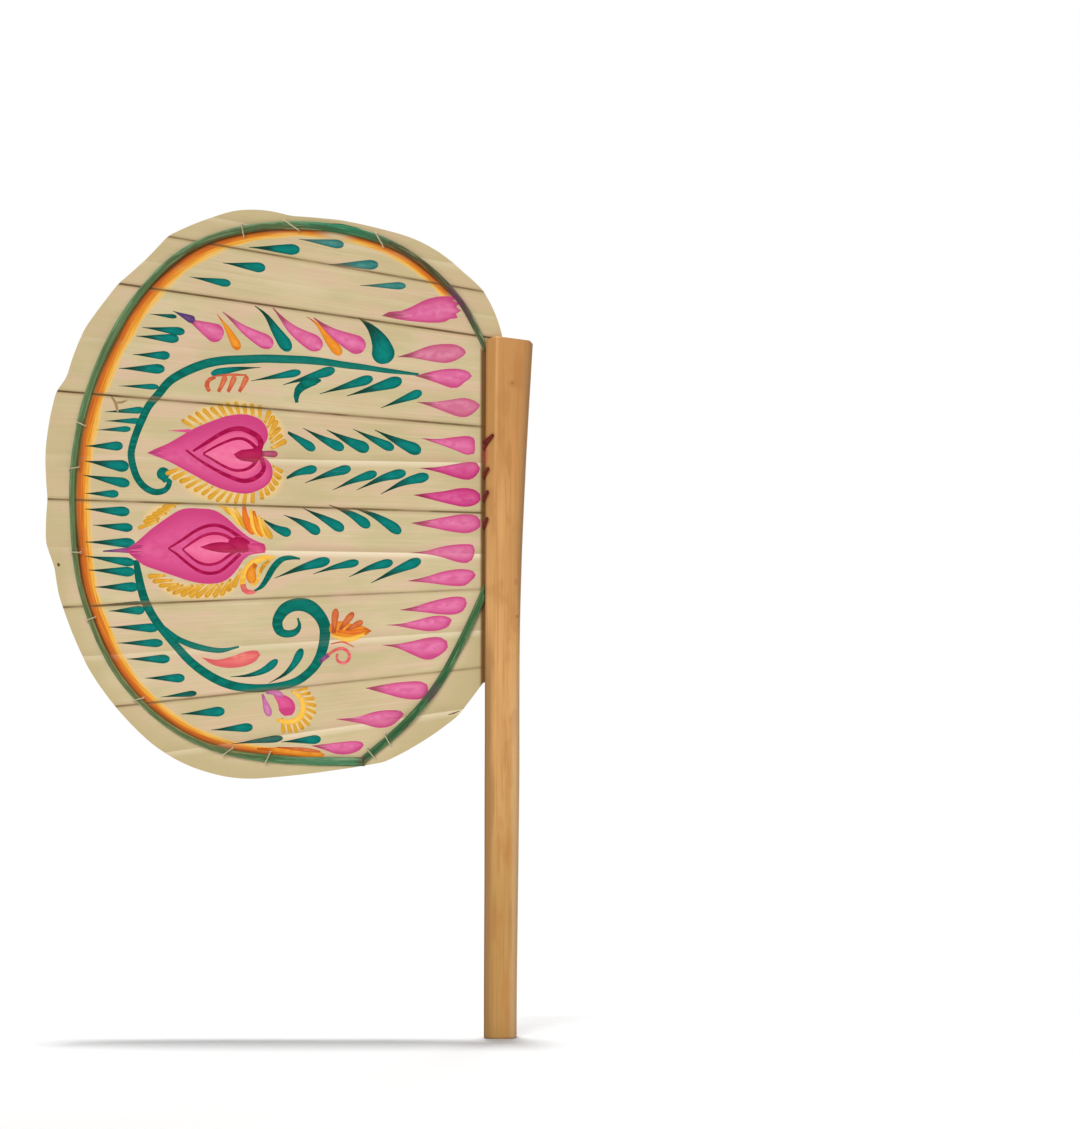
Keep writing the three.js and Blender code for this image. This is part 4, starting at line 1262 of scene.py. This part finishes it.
class Drawing:
    """Points, lines and faces that go into one flat triangulation. Each face has an owner: the
    number of its stroke, the leaf or a hole."""

    LEAF = -2
    HOLE = -1

    def __init__(self):
        self.points = []
        self.lines = []
        self.faces = []
        self.owners = []

    def line(self, points):
        start = len(self.points)
        self.points += points
        self.lines += [(start + i, start + i + 1) for i in range(len(points) - 1)]

    def face(self, loop, owner):
        start = len(self.points)
        turn = sum(a.x * b.y - a.y * b.x for a, b in zip(loop, loop[1:] + loop[:1]))
        self.points += loop if turn > 0 else loop[::-1]
        self.faces.append([start + i for i in range(len(loop))])
        self.owners.append(owner)

    def triangles(self):
        """The triangulation's places, and the corners and owner of each triangle on the leaf."""
        found = geometry.delaunay_2d_cdt(self.points, self.lines, self.faces, 0, 1e-3, True)
        kept = []
        for corners, sources in zip(found[2], found[5]):
            owners = [self.owners[source] for source in sources]
            if self.LEAF in owners and self.HOLE not in owners:
                kept.append((corners, max(owners)))
        used = sorted({corner for corners, _ in kept for corner in corners})
        order = {old: new for new, old in enumerate(used)}
        places = [Vector(found[0][old]) for old in used]
        return places, [([order[corner] for corner in corners], owner) for corners, owner in kept]


def leaf_drawing():
    drawing = Drawing()
    drawing.face(rim_outline(), Drawing.LEAF)
    for centre, across, reach in stitch_places():
        for side in (-1, 1):
            hole = circle(centre + across * reach * side, STITCH_HOLE_RADIUS, HOLE_SIDES)
            drawing.face(hole, Drawing.HOLE)
    for _, hole in lashing_places():
        centre = Vector((MOUTH_X - hole.x, hole.y - KERF_FOOT))
        drawing.face(circle(centre, LASHING_HOLE_RADIUS, HOLE_SIDES), Drawing.HOLE)
    for number, stroke in enumerate(strokes):
        for loop in stroke.loops:
            drawing.face(loop, number)
        if len(stroke.loops) == 1:
            drawing.line([point.copy() for point in stroke.spine.points[1:-1]])
    for upper, lower in zip(FOLDS, FOLDS[1:]):
        shares = [t if upper[2] > lower[2] else 1 - t for t in ARCH_LINES]
        for share in [0, *shares]:
            line = []
            for u in FOLD_REACHES:
                height = mix(fold_height(upper, u), fold_height(lower, u), share)
                line.append(Vector((u, height)))
            drawing.line(line)
    for fold in FOLDS:
        if fold[2] < 0:
            for offset in (-CREST_GROOVE_HALF, CREST_GROOVE_HALF):
                drawing.line([Vector((u, fold_height(fold, u) + offset)) for u in FOLD_REACHES])
    return drawing


def outside_hoop(place):
    """How far outside the hoops' ring a place lies; negative inside."""
    _, hoop_offset = hoop_coarse.nearest(place)
    _, tail_offset = tail_coarse.nearest(place)
    return min(hoop_offset, tail_offset, key=abs)


def add_leaf_face(mesh, ring, number, panel):
    face = mesh.faces.new([mesh.verts[i] for i in ring])
    face[mesh.faces.layers.int["stroke"]] = number
    face[mesh.faces.layers.int["panel"]] = panel
    face.smooth = True


def make_leaf():
    """The leaf: a front with the painting, a plain back and the cut edges between them."""
    paint_all()
    places, triangles = leaf_drawing().triangles()
    outside = [outside_hoop(place) for place in places]
    mesh = bmesh.new()
    mesh.faces.layers.int.new("stroke")
    mesh.faces.layers.int.new("panel")
    for side in (-1, 1):
        for place, out in zip(places, outside):
            wave = noise.noise(Vector((place.x, place.y, 40)) * 0.04)
            depth = pleat_depth(place)
            depth += LEAF_WAVE * noise.noise(Vector((place.x * 0.03, place.y * 0.09, 4)))
            depth += OUTER_LEAF_WAVE * smooth(out / OUTER_LEAF_FADE) * wave
            if side < 0:
                depth += crest_groove(place)
            mesh.verts.new(on_fan(place, depth + side * LEAF_THICKNESS / 2) * MM)
    mesh.verts.ensure_lookup_table()
    count = len(places)
    borders = {}
    for (a, b, c), owner in triangles:
        panel = panel_at((places[a] + places[b] + places[c]) / 3)
        add_leaf_face(mesh, (a, b, c), max(owner, -1), panel)
        add_leaf_face(mesh, (c + count, b + count, a + count), -1, panel)
        for edge in ((a, b), (b, c), (c, a)):
            key = (min(edge), max(edge))
            borders[key] = None if key in borders else (edge, panel)
    for (a, b), panel in filter(None, borders.values()):
        add_leaf_face(mesh, (b, a, a + count, b + count), -1, panel)
    bmesh.ops.recalc_face_normals(mesh, faces=mesh.faces)
    add_leaf_maps(mesh, places, outside)
    paints = sorted({stroke.paint for stroke in strokes})
    stroke_layer = mesh.faces.layers.int["stroke"]
    for face in mesh.faces:
        number = face[stroke_layer]
        face.material_index = paints.index(strokes[number].paint) + 1 if number >= 0 else 0
    materials = [leaf_material()] + [stroke_material(name) for name in paints]
    finish_piece("painted_leaf", mesh, "palm_leaf", materials, LEAF_SHARP, "leaf_blade")


def add_leaf_maps(mesh, places, outside):
    """Coordinates along the leaflets, from the folds and within each stroke."""
    leaf_map, fold_map, shape_map, brush_map = [
        mesh.loops.layers.uv.new(name) for name in ("Leaf", "Fold", "Shape", "Brush")
    ]
    fold_line_and_shade = mesh.loops.layers.float_color.new("fold_line_and_shade")
    leaf_tone = mesh.loops.layers.float_color.new("leaf_tone")
    stroke_layer = mesh.faces.layers.int["stroke"]
    panel_layer = mesh.faces.layers.int["panel"]
    chance = random.Random(11)
    tones = [chance.random() for _ in FOLDS]
    middle = LEAF_REACH / 2
    cache = {}
    for face in mesh.faces:
        panel = face[panel_layer]
        number = face[stroke_layer]
        upper = FOLDS[panel]
        lower = FOLDS[panel + 1]
        valley_on_top = upper[2] >= lower[2]
        crest, valley = (lower, upper) if valley_on_top else (upper, lower)
        line_kept = 1.0 if face.normal.y < 0.3 else 0.5
        tone = tones[panel if valley_on_top else panel + 1]
        for loop in face.loops:
            index = loop.vert.index % len(places)
            place = places[index]
            share = panel_share(panel, place)
            row = mix(fold_height(upper, middle), fold_height(lower, middle), share)
            loop[leaf_map].uv = (place.x, row)
            loop[fold_map].uv = [abs(place.y - fold_height(f, place.x)) for f in (crest, valley)]
            leftward = smooth((place.x - 85) / 70)
            # The fold's line with its painted shade, then the painted light below a valley and the
            # painted shade above one
            line = mix(*crest[3], leftward) * line_kept
            shade = mix(*valley[4], leftward)
            loop[fold_line_and_shade] = (line, shade * valley_on_top, shade * (not valley_on_top), 1)
            loop[leaf_tone] = (smooth(outside[index] / 9), tone, 0, 1)
            if number < 0:
                continue
            key = (number, index)
            if key not in cache:
                cache[key] = strokes[number].local(place)
            loop[shape_map].uv = cache[key][:2]
            loop[brush_map].uv = cache[key][2:]


# Pieces made of rings of points


def mesh_object(name, mesh):
    """An object of a mesh, with its faces turned outward."""
    bmesh.ops.recalc_face_normals(mesh, faces=mesh.faces)
    data = bpy.data.meshes.new(name)
    mesh.to_mesh(data)
    mesh.free()
    made = bpy.data.objects.new(name, data)
    bpy.context.scene.collection.objects.link(made)
    return made


def finish_piece(name, mesh, slot, materials, sharp_angle, *nodes):
    """A piece of the fan that dresses some solids. Edges over the sharp angle stay sharp."""
    piece = mesh_object(name, mesh)
    for material in materials:
        piece.data.materials.append(material)
    if sharp_angle:
        piece.data.set_sharp_from_angle(angle=math.radians(sharp_angle))
    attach(piece, "root")
    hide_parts(*nodes)


def add_rings(mesh, rings, closed=False, uv_name=None, coordinates=None):
    """A skin over rings of points. The coordinates give one uv pair for each point."""
    layer = uv_name and (mesh.loops.layers.uv.get(uv_name) or mesh.loops.layers.uv.new(uv_name))
    verts = [[mesh.verts.new(point * MM) for point in ring] for ring in rings]
    size = len(rings[0])
    for i in range(len(rings) if closed else len(rings) - 1):
        after = (i + 1) % len(rings)
        for j in range(size):
            k = (j + 1) % size
            face = mesh.faces.new([verts[i][j], verts[i][k], verts[after][k], verts[after][j]])
            face.smooth = True
            places = ((i, j), (i, j + 1), (i + 1, j + 1), (i + 1, j)) if layer else ()
            for loop, place in zip(face.loops, places):
                loop[layer].uv = coordinates(*place)
    if not closed:
        mesh.faces.new(verts[0][::-1])
        mesh.faces.new(verts[-1])


# Hoops


def strip_material(name, wear, smear):
    """Green paint worn thin on split bamboo, with a smear from one distance to another. Its outer
    and inner edge tones are partly painted highlight and painted shade.
    """
    shader = Shader(name, 0.55, gloss=0.2)
    span = shader.span
    along, across = shader.uv("Strip")
    length = wear[-1][0]
    streak = shader.grain(along, across, 1.0, (0.05, 2.4, 1), 4)
    patch = shader.grain(along, across, 6.0, (0.11, 0.7, 1), 3)
    wander = shader.add(across, span(patch, 0.3, 0.7, -0.5, 0.5))
    share = shader.calc("DIVIDE", along, length)
    outer, middle, inner = [
        shader.shades(share, *[(place / length, STRIP_WEAR_AND_SHADE[kind][part]) for place, kind in wear])
        for part in range(3)
    ]
    # Toward the outer and inner edges: partly painted highlight and painted shade
    colour = shader.blend(span(wander, 0.15, 0.95), middle, outer)
    colour = shader.blend(span(wander, -0.1, -0.9), colour, inner)
    start, end, smear_tone = smear
    smeared = shader.times(
        span(along, start - 5, start), span(along, end, end + 5, 1.0, 0.0), span(streak, 0.35, 0.6)
    )
    colour = shader.tints(
        colour,
        (span(streak, 0.54, 0.7, 0.0, 0.5), (146, 164, 118)),
        (span(streak, 0.47, 0.3, 0.0, 0.6), (46, 60, 28)),
        (smeared, smear_tone),
    )
    return shader.finish(colour, streak, 0.06)


def trim_strip(mesh, point, normal, reach):
    """Cuts away what lies beyond a plane, as far as it is near a point, and closes the cut."""
    centre = point * MM
    near = {vert for vert in mesh.verts if (vert.co - centre).length < reach * MM}
    parts = [vert for vert in mesh.verts if vert in near]
    parts += [edge for edge in mesh.edges if near.issuperset(edge.verts)]
    parts += [face for face in mesh.faces if near.issuperset(face.verts)]
    cut = bmesh.ops.bisect_plane(
        mesh, geom=parts, plane_co=centre, plane_no=normal, clear_outer=True
    )
    edges = [part for part in cut["geom_cut"] if isinstance(part, bmesh.types.BMEdge)]
    if edges:
        bmesh.ops.edgeloop_fill(mesh, edges=edges)


def strip_section():
    """A strip's section: each corner's share of the half width, depth and bevel."""
    edge = [
        (1, HOOP_OUTER - HOOP_BEVEL, 0),
        (1, HOOP_OUTER - 0.12, HOOP_BEVEL * 0.35),
        (1, HOOP_OUTER, HOOP_BEVEL),
        (0.4, HOOP_OUTER + 0.05, 0),
    ]
    mirrored = [(-across, depth, bevel) for across, depth, bevel in reversed(edge)]
    return [(-1, HOOP_INNER, 0), (1, HOOP_INNER, 0), *edge, *mirrored]


def make_strip(name, path, width_at, side, material, node):
    mesh = bmesh.new()
    is_hoop = path is hoop_path
    first = 0 if is_hoop else -JOINT_LAP
    last = path.length + (JOINT_LAP if is_hoop else 0)
    steps = round((last - first) / STRIP_STEP)
    section = strip_section()
    rings = []
    for i in range(steps + 1):
        distance = mix(first, last, i / steps)
        centre, direction = path.at(distance)
        swell = STRIP_SWELL * noise.noise(Vector((distance * 0.12, side * 5, 1)))
        half = width_at(ramp(distance / path.length)) / 2
        half += STRIP_WAVE * noise.noise(Vector((distance * 0.07, side * 3, 8)))
        drift = STRIP_WAVE * noise.noise(Vector((distance * 0.03, side * 3, 3)))
        ring = []
        for across, depth, bevel in section:
            offset = turned_left(direction) * (across * half - math.copysign(bevel, across) + drift)
            rise = swell if depth > HOOP_INNER else 0
            ring.append(on_fan(centre + offset, side * (depth + rise)))
        rings.append(ring)

    def coordinates(i, j):
        return mix(first, last, i / steps), section[j % len(section)][0]

    add_rings(mesh, rings, False, "Strip", coordinates)
    outward = JOINT_NORMAL if is_hoop else -JOINT_NORMAL
    at_handle = on_fan(path.points[0 if is_hoop else -1], 0)
    at_handle.x = STRIP_TRIM_X
    trim_strip(mesh, at_handle, (1, 0, 0), 40)
    trim_strip(mesh, on_fan(JOINT - outward * JOINT_GAP, 0), (-outward.x, 0, outward.y), 14)
    finish_piece(name, mesh, "green_bamboo", [material], STRIP_SHARP, node)


def make_strips():
    hoop = strip_material("green_hoop", HOOP_WEAR, (24, 38, (92, 46, 72)))
    tail = strip_material("green_tail", TAIL_WEAR, (46, 50.5, (82, 58, 66)))
    for side, word in ((-1, "front"), (1, "back")):
        make_strip(word + "_split_hoop", hoop_path, hoop_width, side, hoop, word + "_hoop")
        make_strip(word + "_split_tail", tail_path, tail_width, side, tail, word + "_hoop_tail")


# Threads


def thread_material(name, pale, body, deep):
    shader = Shader(name, 0.85, sheen=0.05)
    along, around = shader.uv("Thread")
    fuzz = shader.grain(along, around, 0.0, (3.0, 5.0, 1), 3)
    broad = shader.grain(along, around, 4.0, (0.4, 0.3, 1), 2)
    colour = shader.blend(shader.span(fuzz, 0.35, 0.65), srgb(*deep), srgb(*body))
    colour = shader.tints(colour, (shader.span(broad, 0.5, 0.7, 0.0, 0.6), pale))
    return shader.finish(colour, fuzz, 0.05)


def rounded_loop(corners, radius, spacing):
    """A closed path through corners, each corner rounded, with even spacing."""
    path = []
    for i, corner in enumerate(corners):
        before = corners[i - 1]
        after = corners[(i + 1) % len(corners)]
        to_before = (before - corner).length
        to_after = (after - corner).length
        pull = min(radius, to_before / 3, to_after / 3)
        start = corner.lerp(before, pull / to_before)
        end = corner.lerp(after, pull / to_after)
        for t in (0, 0.25, 0.5, 0.75, 1):
            path.append(start.lerp(corner, t).lerp(corner.lerp(end, t), t))
    sides = list(zip(path, path[1:] + path[:1]))
    total = sum((there - here).length for here, there in sides)
    count = round(total / spacing)
    even = []
    carried = 0.0
    for here, there in sides:
        span = (there - here).length
        while carried < span - 1e-6:
            even.append(here.lerp(there, carried / span))
            carried += total / count
        carried -= span
    return even[:count], total


def around_path(path, plane_normal, i):
    """Outward and upward directions square to a closed flat path at one of its points."""
    tangent = (path[(i + 1) % len(path)] - path[i - 1]).normalized()
    outward = plane_normal.cross(tangent).normalized()
    return outward, tangent.cross(outward)


def add_thread(mesh, corners, diameter, plies):
    """Plies twisted together along a closed path."""
    path, total = rounded_loop(corners, THREAD_CORNER, THREAD_STEP)
    edge_b = path[len(path) // 3] - path[0]
    plane_normal = (path[1] - path[0]).cross(edge_b).normalized()
    twists = round(total / (diameter * TWIST_DIAMETERS))
    ply_radius = diameter * PLY_RADIUS_SHARE[plies]
    swing = diameter / 2 - ply_radius
    count = len(path)
    for ply in range(plies):
        centres = []
        for i, point in enumerate(path):
            outward, _ = around_path(path, plane_normal, i)
            turn = 2 * math.pi * (twists * i / count + ply / plies)
            offset = outward * math.cos(turn) + plane_normal * math.sin(turn)
            centres.append(point + offset * swing)
        rings = []
        for i, centre in enumerate(centres):
            outward, upward = around_path(centres, plane_normal, i)
            ring = []
            for j in range(PLY_SIDES):
                angle = 2 * math.pi * j / PLY_SIDES
                swell = 1 + PLY_SWELL * noise.noise(Vector((i * 0.3, j, ply)))
                offset = outward * math.cos(angle) + upward * math.sin(angle)
                ring.append(centre + offset * (ply_radius * swell))
            rings.append(ring)

        def coordinates(i, j):
            return total * i / count, ply * 2 + j / PLY_SIDES

        add_rings(mesh, rings, True, "Thread", coordinates)


def make_thread(name, slot, node, loops, diameter, plies, material):
    mesh = bmesh.new()
    for corners in loops:
        add_thread(mesh, corners, diameter, plies)
    finish_piece(name, mesh, slot, [material], None, node)


def handle_section(z, inset=0.0, extra=1):
    """Outline of the handle at a height, as x and y, the left facet first."""
    left = left_edge(z) + inset
    half = half_thickness(z) - inset
    facet = mix(FACET_FOOT, FACET_HEAD, smooth((z - HANDLE_LENGTH + FACET_FADE) / FACET_FADE))
    front = FRONT_CROWN - half
    back = half - BACK_CROWN
    right_centre = right_edge(z) - inset - EDGE_ROUND
    left_centre = left + BACK_EDGE_ROUND
    steps = 3 * extra

    def corner(x, y, radius, start, end):
        turns = [math.radians(mix(start, end, i / steps)) for i in range(steps + 1)]
        return [(x + radius * math.cos(a), y + radius * math.sin(a)) for a in turns]

    def crown(from_x, to_x, edge_y, rise, first):
        shares = [i / steps for i in range(first, steps)]
        return [(mix(from_x, to_x, t), edge_y + rise * (1 - (2 * t - 1) ** 2)) for t in shares]

    return [
        (left, facet * FACET_DEPTH_RATIO - half),
        *crown(left + facet, right_centre, front, -FRONT_CROWN, 0),
        *corner(right_centre, front + EDGE_ROUND, EDGE_ROUND, -90, 0),
        *corner(right_centre, back - EDGE_ROUND, EDGE_ROUND, 0, 90),
        *crown(right_centre, left_centre, back, BACK_CROWN, 1),
        *corner(left_centre, back - BACK_EDGE_ROUND, BACK_EDGE_ROUND, 90, 180),
    ]


def lashing_corners(hole, leaf_hole):
    """The lashing's way round the handle's left edge, pushed out by its own radius."""
    distance = CLEARANCE * 0.3 + RED_THREAD / 2
    outline = [Vector(point) for point in handle_section(hole.y)]
    around = []
    for i, point in enumerate(outline):
        in_edge = (point - outline[i - 1]).normalized()
        out_edge = (outline[(i + 1) % len(outline)] - point).normalized()
        in_normal = -turned_left(in_edge)
        out_normal = -turned_left(out_edge)
        push = (in_normal + out_normal) * (distance / (1 + in_normal.dot(out_normal)))
        if point.x + push.x < hole.x - LASHING_CORNER_GAP:
            around.append(point + push)
    around.sort(key=lambda point: -point.y)
    half = half_thickness(hole.y)
    back_end = Vector((hole.x, half - BACK_CROWN / 2 + distance))
    front_end = Vector((hole.x, FRONT_CROWN / 2 - half - distance))
    slope = (hole.y - leaf_hole.y) / (hole.x - leaf_hole.x)
    flat = [back_end, *around, front_end]
    return [Vector((p.x, p.y, hole.y - (hole.x - p.x) * slope)) for p in flat]


def make_threads():
    cream = thread_material("cream_cotton", (224, 214, 184), (206, 194, 158), (160, 144, 106))
    for i, (centre, across, reach) in enumerate(stitch_places(), start=1):
        sides = ((-1, -STITCH_RUN), (1, -STITCH_RUN), (1, STITCH_RUN), (-1, STITCH_RUN))
        corners = [on_fan(centre + across * reach * side, depth) for side, depth in sides]
        name = f"rim_thread_{i:02d}"
        node = f"rim_stitch_{i:02d}"
        make_thread(name, "cream_thread", node, [corners], STITCH_DIAMETER, 2, cream)
    red = thread_material("red_cotton", (148, 36, 26), (116, 22, 14), (72, 10, 6))
    for i, (hole, leaf_hole) in enumerate(lashing_places(), start=1):
        second = leaf_hole + Vector((0, TWIN_RISE[i - 1]))
        loops = [lashing_corners(hole, leaf_hole), lashing_corners(hole, second)]
        name = f"red_lashing_{i}"
        make_thread(name, "red_thread", f"handle_lashing_{i}", loops, RED_THREAD, 3, red)


# Handle


def bamboo_material():
    """Bamboo's long grain, darker at the head, with marks on its front, painted shade down the left
    side and along the edges, and a painted highlight along the ridge of the head's facet.
    """
    shader = Shader("split_bamboo", 0.5, gloss=0.25)
    span = shader.span
    times = shader.times
    x, y, z = shader.position()
    across, _ = shader.uv("Section")
    fine = shader.grain(x, y, z, (1.9, 1.9, 0.02), 4, 0.6)
    broad = shader.grain(x, y, z, (0.22, 0.3, 0.016), 3)
    blotch = shader.grain(x, y, z, (0.1, 0.2, 0.035), 3)
    ruddy = shader.grain(x, y, z, (0.07, 0.1, 0.012), 2)
    on_head = span(z, 250, 305)
    from_ridge = shader.calc("ABSOLUTE", shader.calc("SUBTRACT", across, 0.24))
    colour = shader.tints(
        shader.shades(
            broad, (0.3, (196, 144, 84)), (0.5, (208, 156, 94)), (0.7, (218, 168, 104))
        ),
        (span(z, 150, 330, 0.0, 0.85), (186, 130, 70)),
        (span(z, 170, 50, 0.0, 0.85), (172, 130, 68)),
        (span(fine, 0.5, 0.34, 0.0, 0.45), (166, 112, 56)),
        (span(fine, 0.55, 0.72, 0.0, 0.22), (226, 180, 120)),
        (span(blotch, 0.5, 0.66, 0.0, 0.55), (176, 118, 60)),
        (times(span(ruddy, 0.52, 0.7, 0.0, 0.45), span(z, 60, 120, 0.2, 1.0)), (214, 142, 86)),
        # Painted shade down the left side, strongest below the leaf, and a thin painted shade line
        # at the left edge
        (times(span(across, 0.32, 0.1), span(z, 215, 175, 0.12, 0.95)), (146, 106, 58)),
        (span(across, 0.07, 0.01, 0.0, 0.7), (118, 80, 42)),
        # Painted shade along the right edge high up; lower down that edge is paler
        (times(span(across, 0.72, 0.96, 0.0, 0.8), span(z, 190, 240, 0.12, 0.9)), (162, 120, 76)),
        (times(span(across, 0.7, 0.92, 0.0, 0.6), span(z, 205, 165)), (202, 166, 122)),
        # On the head: painted shade over the left facet and a painted highlight along its ridge
        (times(span(across, 0.25, 0.21, 0.0, 0.5), on_head), (170, 122, 58)),
        (times(span(from_ridge, 0.0, 0.05, 1.0, 0.0), on_head, 0.4), (222, 172, 112)),
    )
    on_front = span(y, 0, -2)
    ragged = span(broad, 0.3, 0.7, -0.25, 0.25)
    for mark_x, mark_z, wide, tall, strength, tone in HANDLE_MARKS:
        gap = ragged
        for value, middle, half in ((x, mark_x, wide), (z, mark_z, tall)):
            part = shader.calc("DIVIDE", shader.calc("SUBTRACT", value, middle), half)
            gap = shader.add(gap, times(part, part))
        colour = shader.tints(colour, (times(span(gap, 0.2, 1.0, strength, 0.0), on_front), tone))
    return shader.finish(colour, shader.add(fine, broad), 0.06)


def cutter(*rings):
    """A solid to cut the handle with, from its rings of corners."""
    mesh = bmesh.new()
    add_rings(mesh, [[Vector(point) for point in ring] for ring in rings])
    return mesh_object("cutter", mesh)


def box_cutter(left, right, half_depth, heights):
    """A cutter between two sides. The heights are its floor's at each side, then its top's."""
    floor_left, floor_right, top_left, top_right = heights
    return cutter(
        *[
            [
                (left, -half_depth, at_left),
                (right, -half_depth, at_right),
                (right, half_depth, at_right),
                (left, half_depth, at_left),
            ]
            for at_left, at_right in ((floor_left, floor_right), (top_left, top_right))
        ]
    )


def slope_cutter(x, z, slope, far):
    """A cutter over a plane through a point, that falls to the right by a slope."""
    heights = (z + far * slope, z - far * slope, z + 3 * far, z + 3 * far)
    return box_cutter(x - far, x + far, far, heights)


def head_cutters(far):
    """The head's slope, with its left and right corners."""
    top = HANDLE_LENGTH
    peak_x = left_edge(top) + HEAD_CORNER_CUT
    slope = HEAD_DROP / (right_edge(top) - peak_x)
    return [
        slope_cutter(peak_x, top, slope, far),
        slope_cutter(peak_x, top, -HEAD_CORNER_SLOPE, far),
        slope_cutter(right_edge(top), top - HEAD_DROP - HEAD_RIGHT_CUT, 1, far),
    ]


def plain_handle():
    """The handle before it is cut: rings up its length, with a fine grain."""
    top = HANDLE_LENGTH
    count = round(top / HANDLE_STEP)
    stations = [0, 0.25, END_CHAMFER] + [HANDLE_STEP * i for i in range(1, count)]
    stations += [top - END_CHAMFER, top]
    rings = []
    for z in stations:
        inset = max(0.0, END_CHAMFER - z)
        if z > top - END_CHAMFER:
            inset = END_CHAMFER
        ring = []
        for x, y in handle_section(z, inset, extra=3):
            wave = noise.noise(Vector((x * 0.15, y * 0.15, z * 0.02)))
            fine = noise.noise(Vector((x * 0.9, y * 0.9, z * 0.015 + 9)))
            push = HANDLE_WAVE * wave + HANDLE_GRAIN * (fine - 1)
            outward = Vector((x, y)).normalized() * push
            ring.append(Vector((x + outward.x, y + outward.y, z)))
        rings.append(ring)
    mesh = bmesh.new()
    mesh.loops.layers.uv.new("Section")
    add_rings(mesh, rings)
    return mesh_object("plain_handle", mesh)


def make_handle():
    """The handle with its head, kerf and lashing holes cut, and its place across as a map."""
    far = 60
    kerf_half = LEAF_THICKNESS / 2 + PLEAT_HALF_DEPTH * PLEAT_LEFT_IN_KERF + CLEARANCE
    kerf_heights = (KERF_FOOT, KERF_FOOT, HANDLE_LENGTH + far, HANDLE_LENGTH + far)
    cutters = [box_cutter(-far, MOUTH_X + KERF_DEPTH, kerf_half, kerf_heights)]
    cutters += head_cutters(far)
    for hole, _ in lashing_places():
        ring = circle(hole, LASHING_DIAMETER / 2 + CLEARANCE, CUTTER_SIDES)
        cutters.append(cutter(*[[(p.x, y, p.y) for p in ring] for y in (-far, far)]))
    plain = plain_handle()
    for tool in cutters:
        modifier = plain.modifiers.new("cut", "BOOLEAN")
        modifier.operation = "DIFFERENCE"
        modifier.solver = "EXACT"
        modifier.object = tool
    bpy.context.view_layer.update()
    shaped = plain.evaluated_get(bpy.context.evaluated_depsgraph_get())
    mesh = bmesh.new()
    mesh.from_mesh(shaped.to_mesh())
    for used in [plain, *cutters]:
        bpy.data.objects.remove(used)
    section_map = mesh.loops.layers.uv["Section"]
    for face in mesh.faces:
        face.smooth = True
        for loop in face.loops:
            place = loop.vert.co / MM
            left = left_edge(place.z)
            loop[section_map].uv = ((place.x - left) / (right_edge(place.z) - left), place.z)
    finish_piece("split_handle", mesh, "bamboo", [bamboo_material()], HANDLE_SHARP, "bamboo_handle")


# Stage


def make_camera():
    data = bpy.data.cameras.new("camera")
    data.lens = CAMERA_LENS
    data.sensor_width = CAMERA_SENSOR
    camera = bpy.data.objects.new("camera", data)
    camera.location = CAMERA_PLACE
    camera.rotation_euler = (math.pi / 2, 0, 0)
    bpy.context.scene.collection.objects.link(camera)
    bpy.context.scene.camera = camera


def make_world(scene):
    """A white background that lights the fan less than it shows."""
    scene.world = bpy.data.worlds.new("world")
    scene.world.use_nodes = True
    tree = scene.world.node_tree
    rays = tree.nodes.new("ShaderNodeLightPath")
    seen = rays.outputs["Is Camera Ray"]
    for kind in ("Is Glossy Ray", "Is Transmission Ray"):
        either = tree.nodes.new("ShaderNodeMath")
        either.operation = "MAXIMUM"
        tree.links.new(seen, either.inputs[0])
        tree.links.new(rays.outputs[kind], either.inputs[1])
        seen = either.outputs[0]
    level = tree.nodes.new("ShaderNodeMapRange")
    level.inputs["To Min"].default_value = WORLD_LEVEL
    level.inputs["To Max"].default_value = 1.0
    tree.links.new(seen, level.inputs["Value"])
    background = tree.nodes["Background"]
    tree.links.new(level.outputs["Result"], background.inputs["Strength"])
    background.inputs["Color"].default_value = (1, 1, 1, 1)


def make_lamps(scene):
    """Suns that shine from the azimuths and elevations of the lamps' table."""
    for name, (strength, softness, azimuth, elevation) in LAMPS.items():
        data = bpy.data.lights.new(name, "SUN")
        data.energy = strength
        data.angle = math.radians(softness)
        lamp = bpy.data.objects.new(name, data)
        turn = math.radians(azimuth)
        rise = math.radians(elevation)
        level = math.cos(rise)
        back = Vector((math.sin(turn) * level, -math.cos(turn) * level, math.sin(rise)))
        lamp.rotation_euler = back.to_track_quat("Z", "Y").to_euler()
        scene.collection.objects.link(lamp)


def make_floor(scene):
    data = bpy.data.meshes.new("floor")
    side = FLOOR_HALF_WIDTH
    corners = [(-side, FLOOR_NEAR, 0), (side, FLOOR_NEAR, 0), (side, FLOOR_FAR, 0)]
    corners.append((-side, FLOOR_FAR, 0))
    data.from_pydata(corners, [], [(0, 1, 2, 3)])
    floor = bpy.data.objects.new("floor", data)
    scene.collection.objects.link(floor)
    shader = Shader("white_floor", 0.9, gloss=0.0)
    shader.put(shader.surface.inputs["Base Color"], (FLOOR_GREY, FLOOR_GREY, FLOOR_GREY, 1))
    data.materials.append(shader.material)


def make_stage():
    scene = bpy.context.scene
    scene.view_settings.view_transform = "Standard"
    make_world(scene)
    make_lamps(scene)
    make_floor(scene)


make_camera()
make_stage()
make_leaf()
make_strips()
make_threads()
make_handle()

bpy.context.view_layer.update()
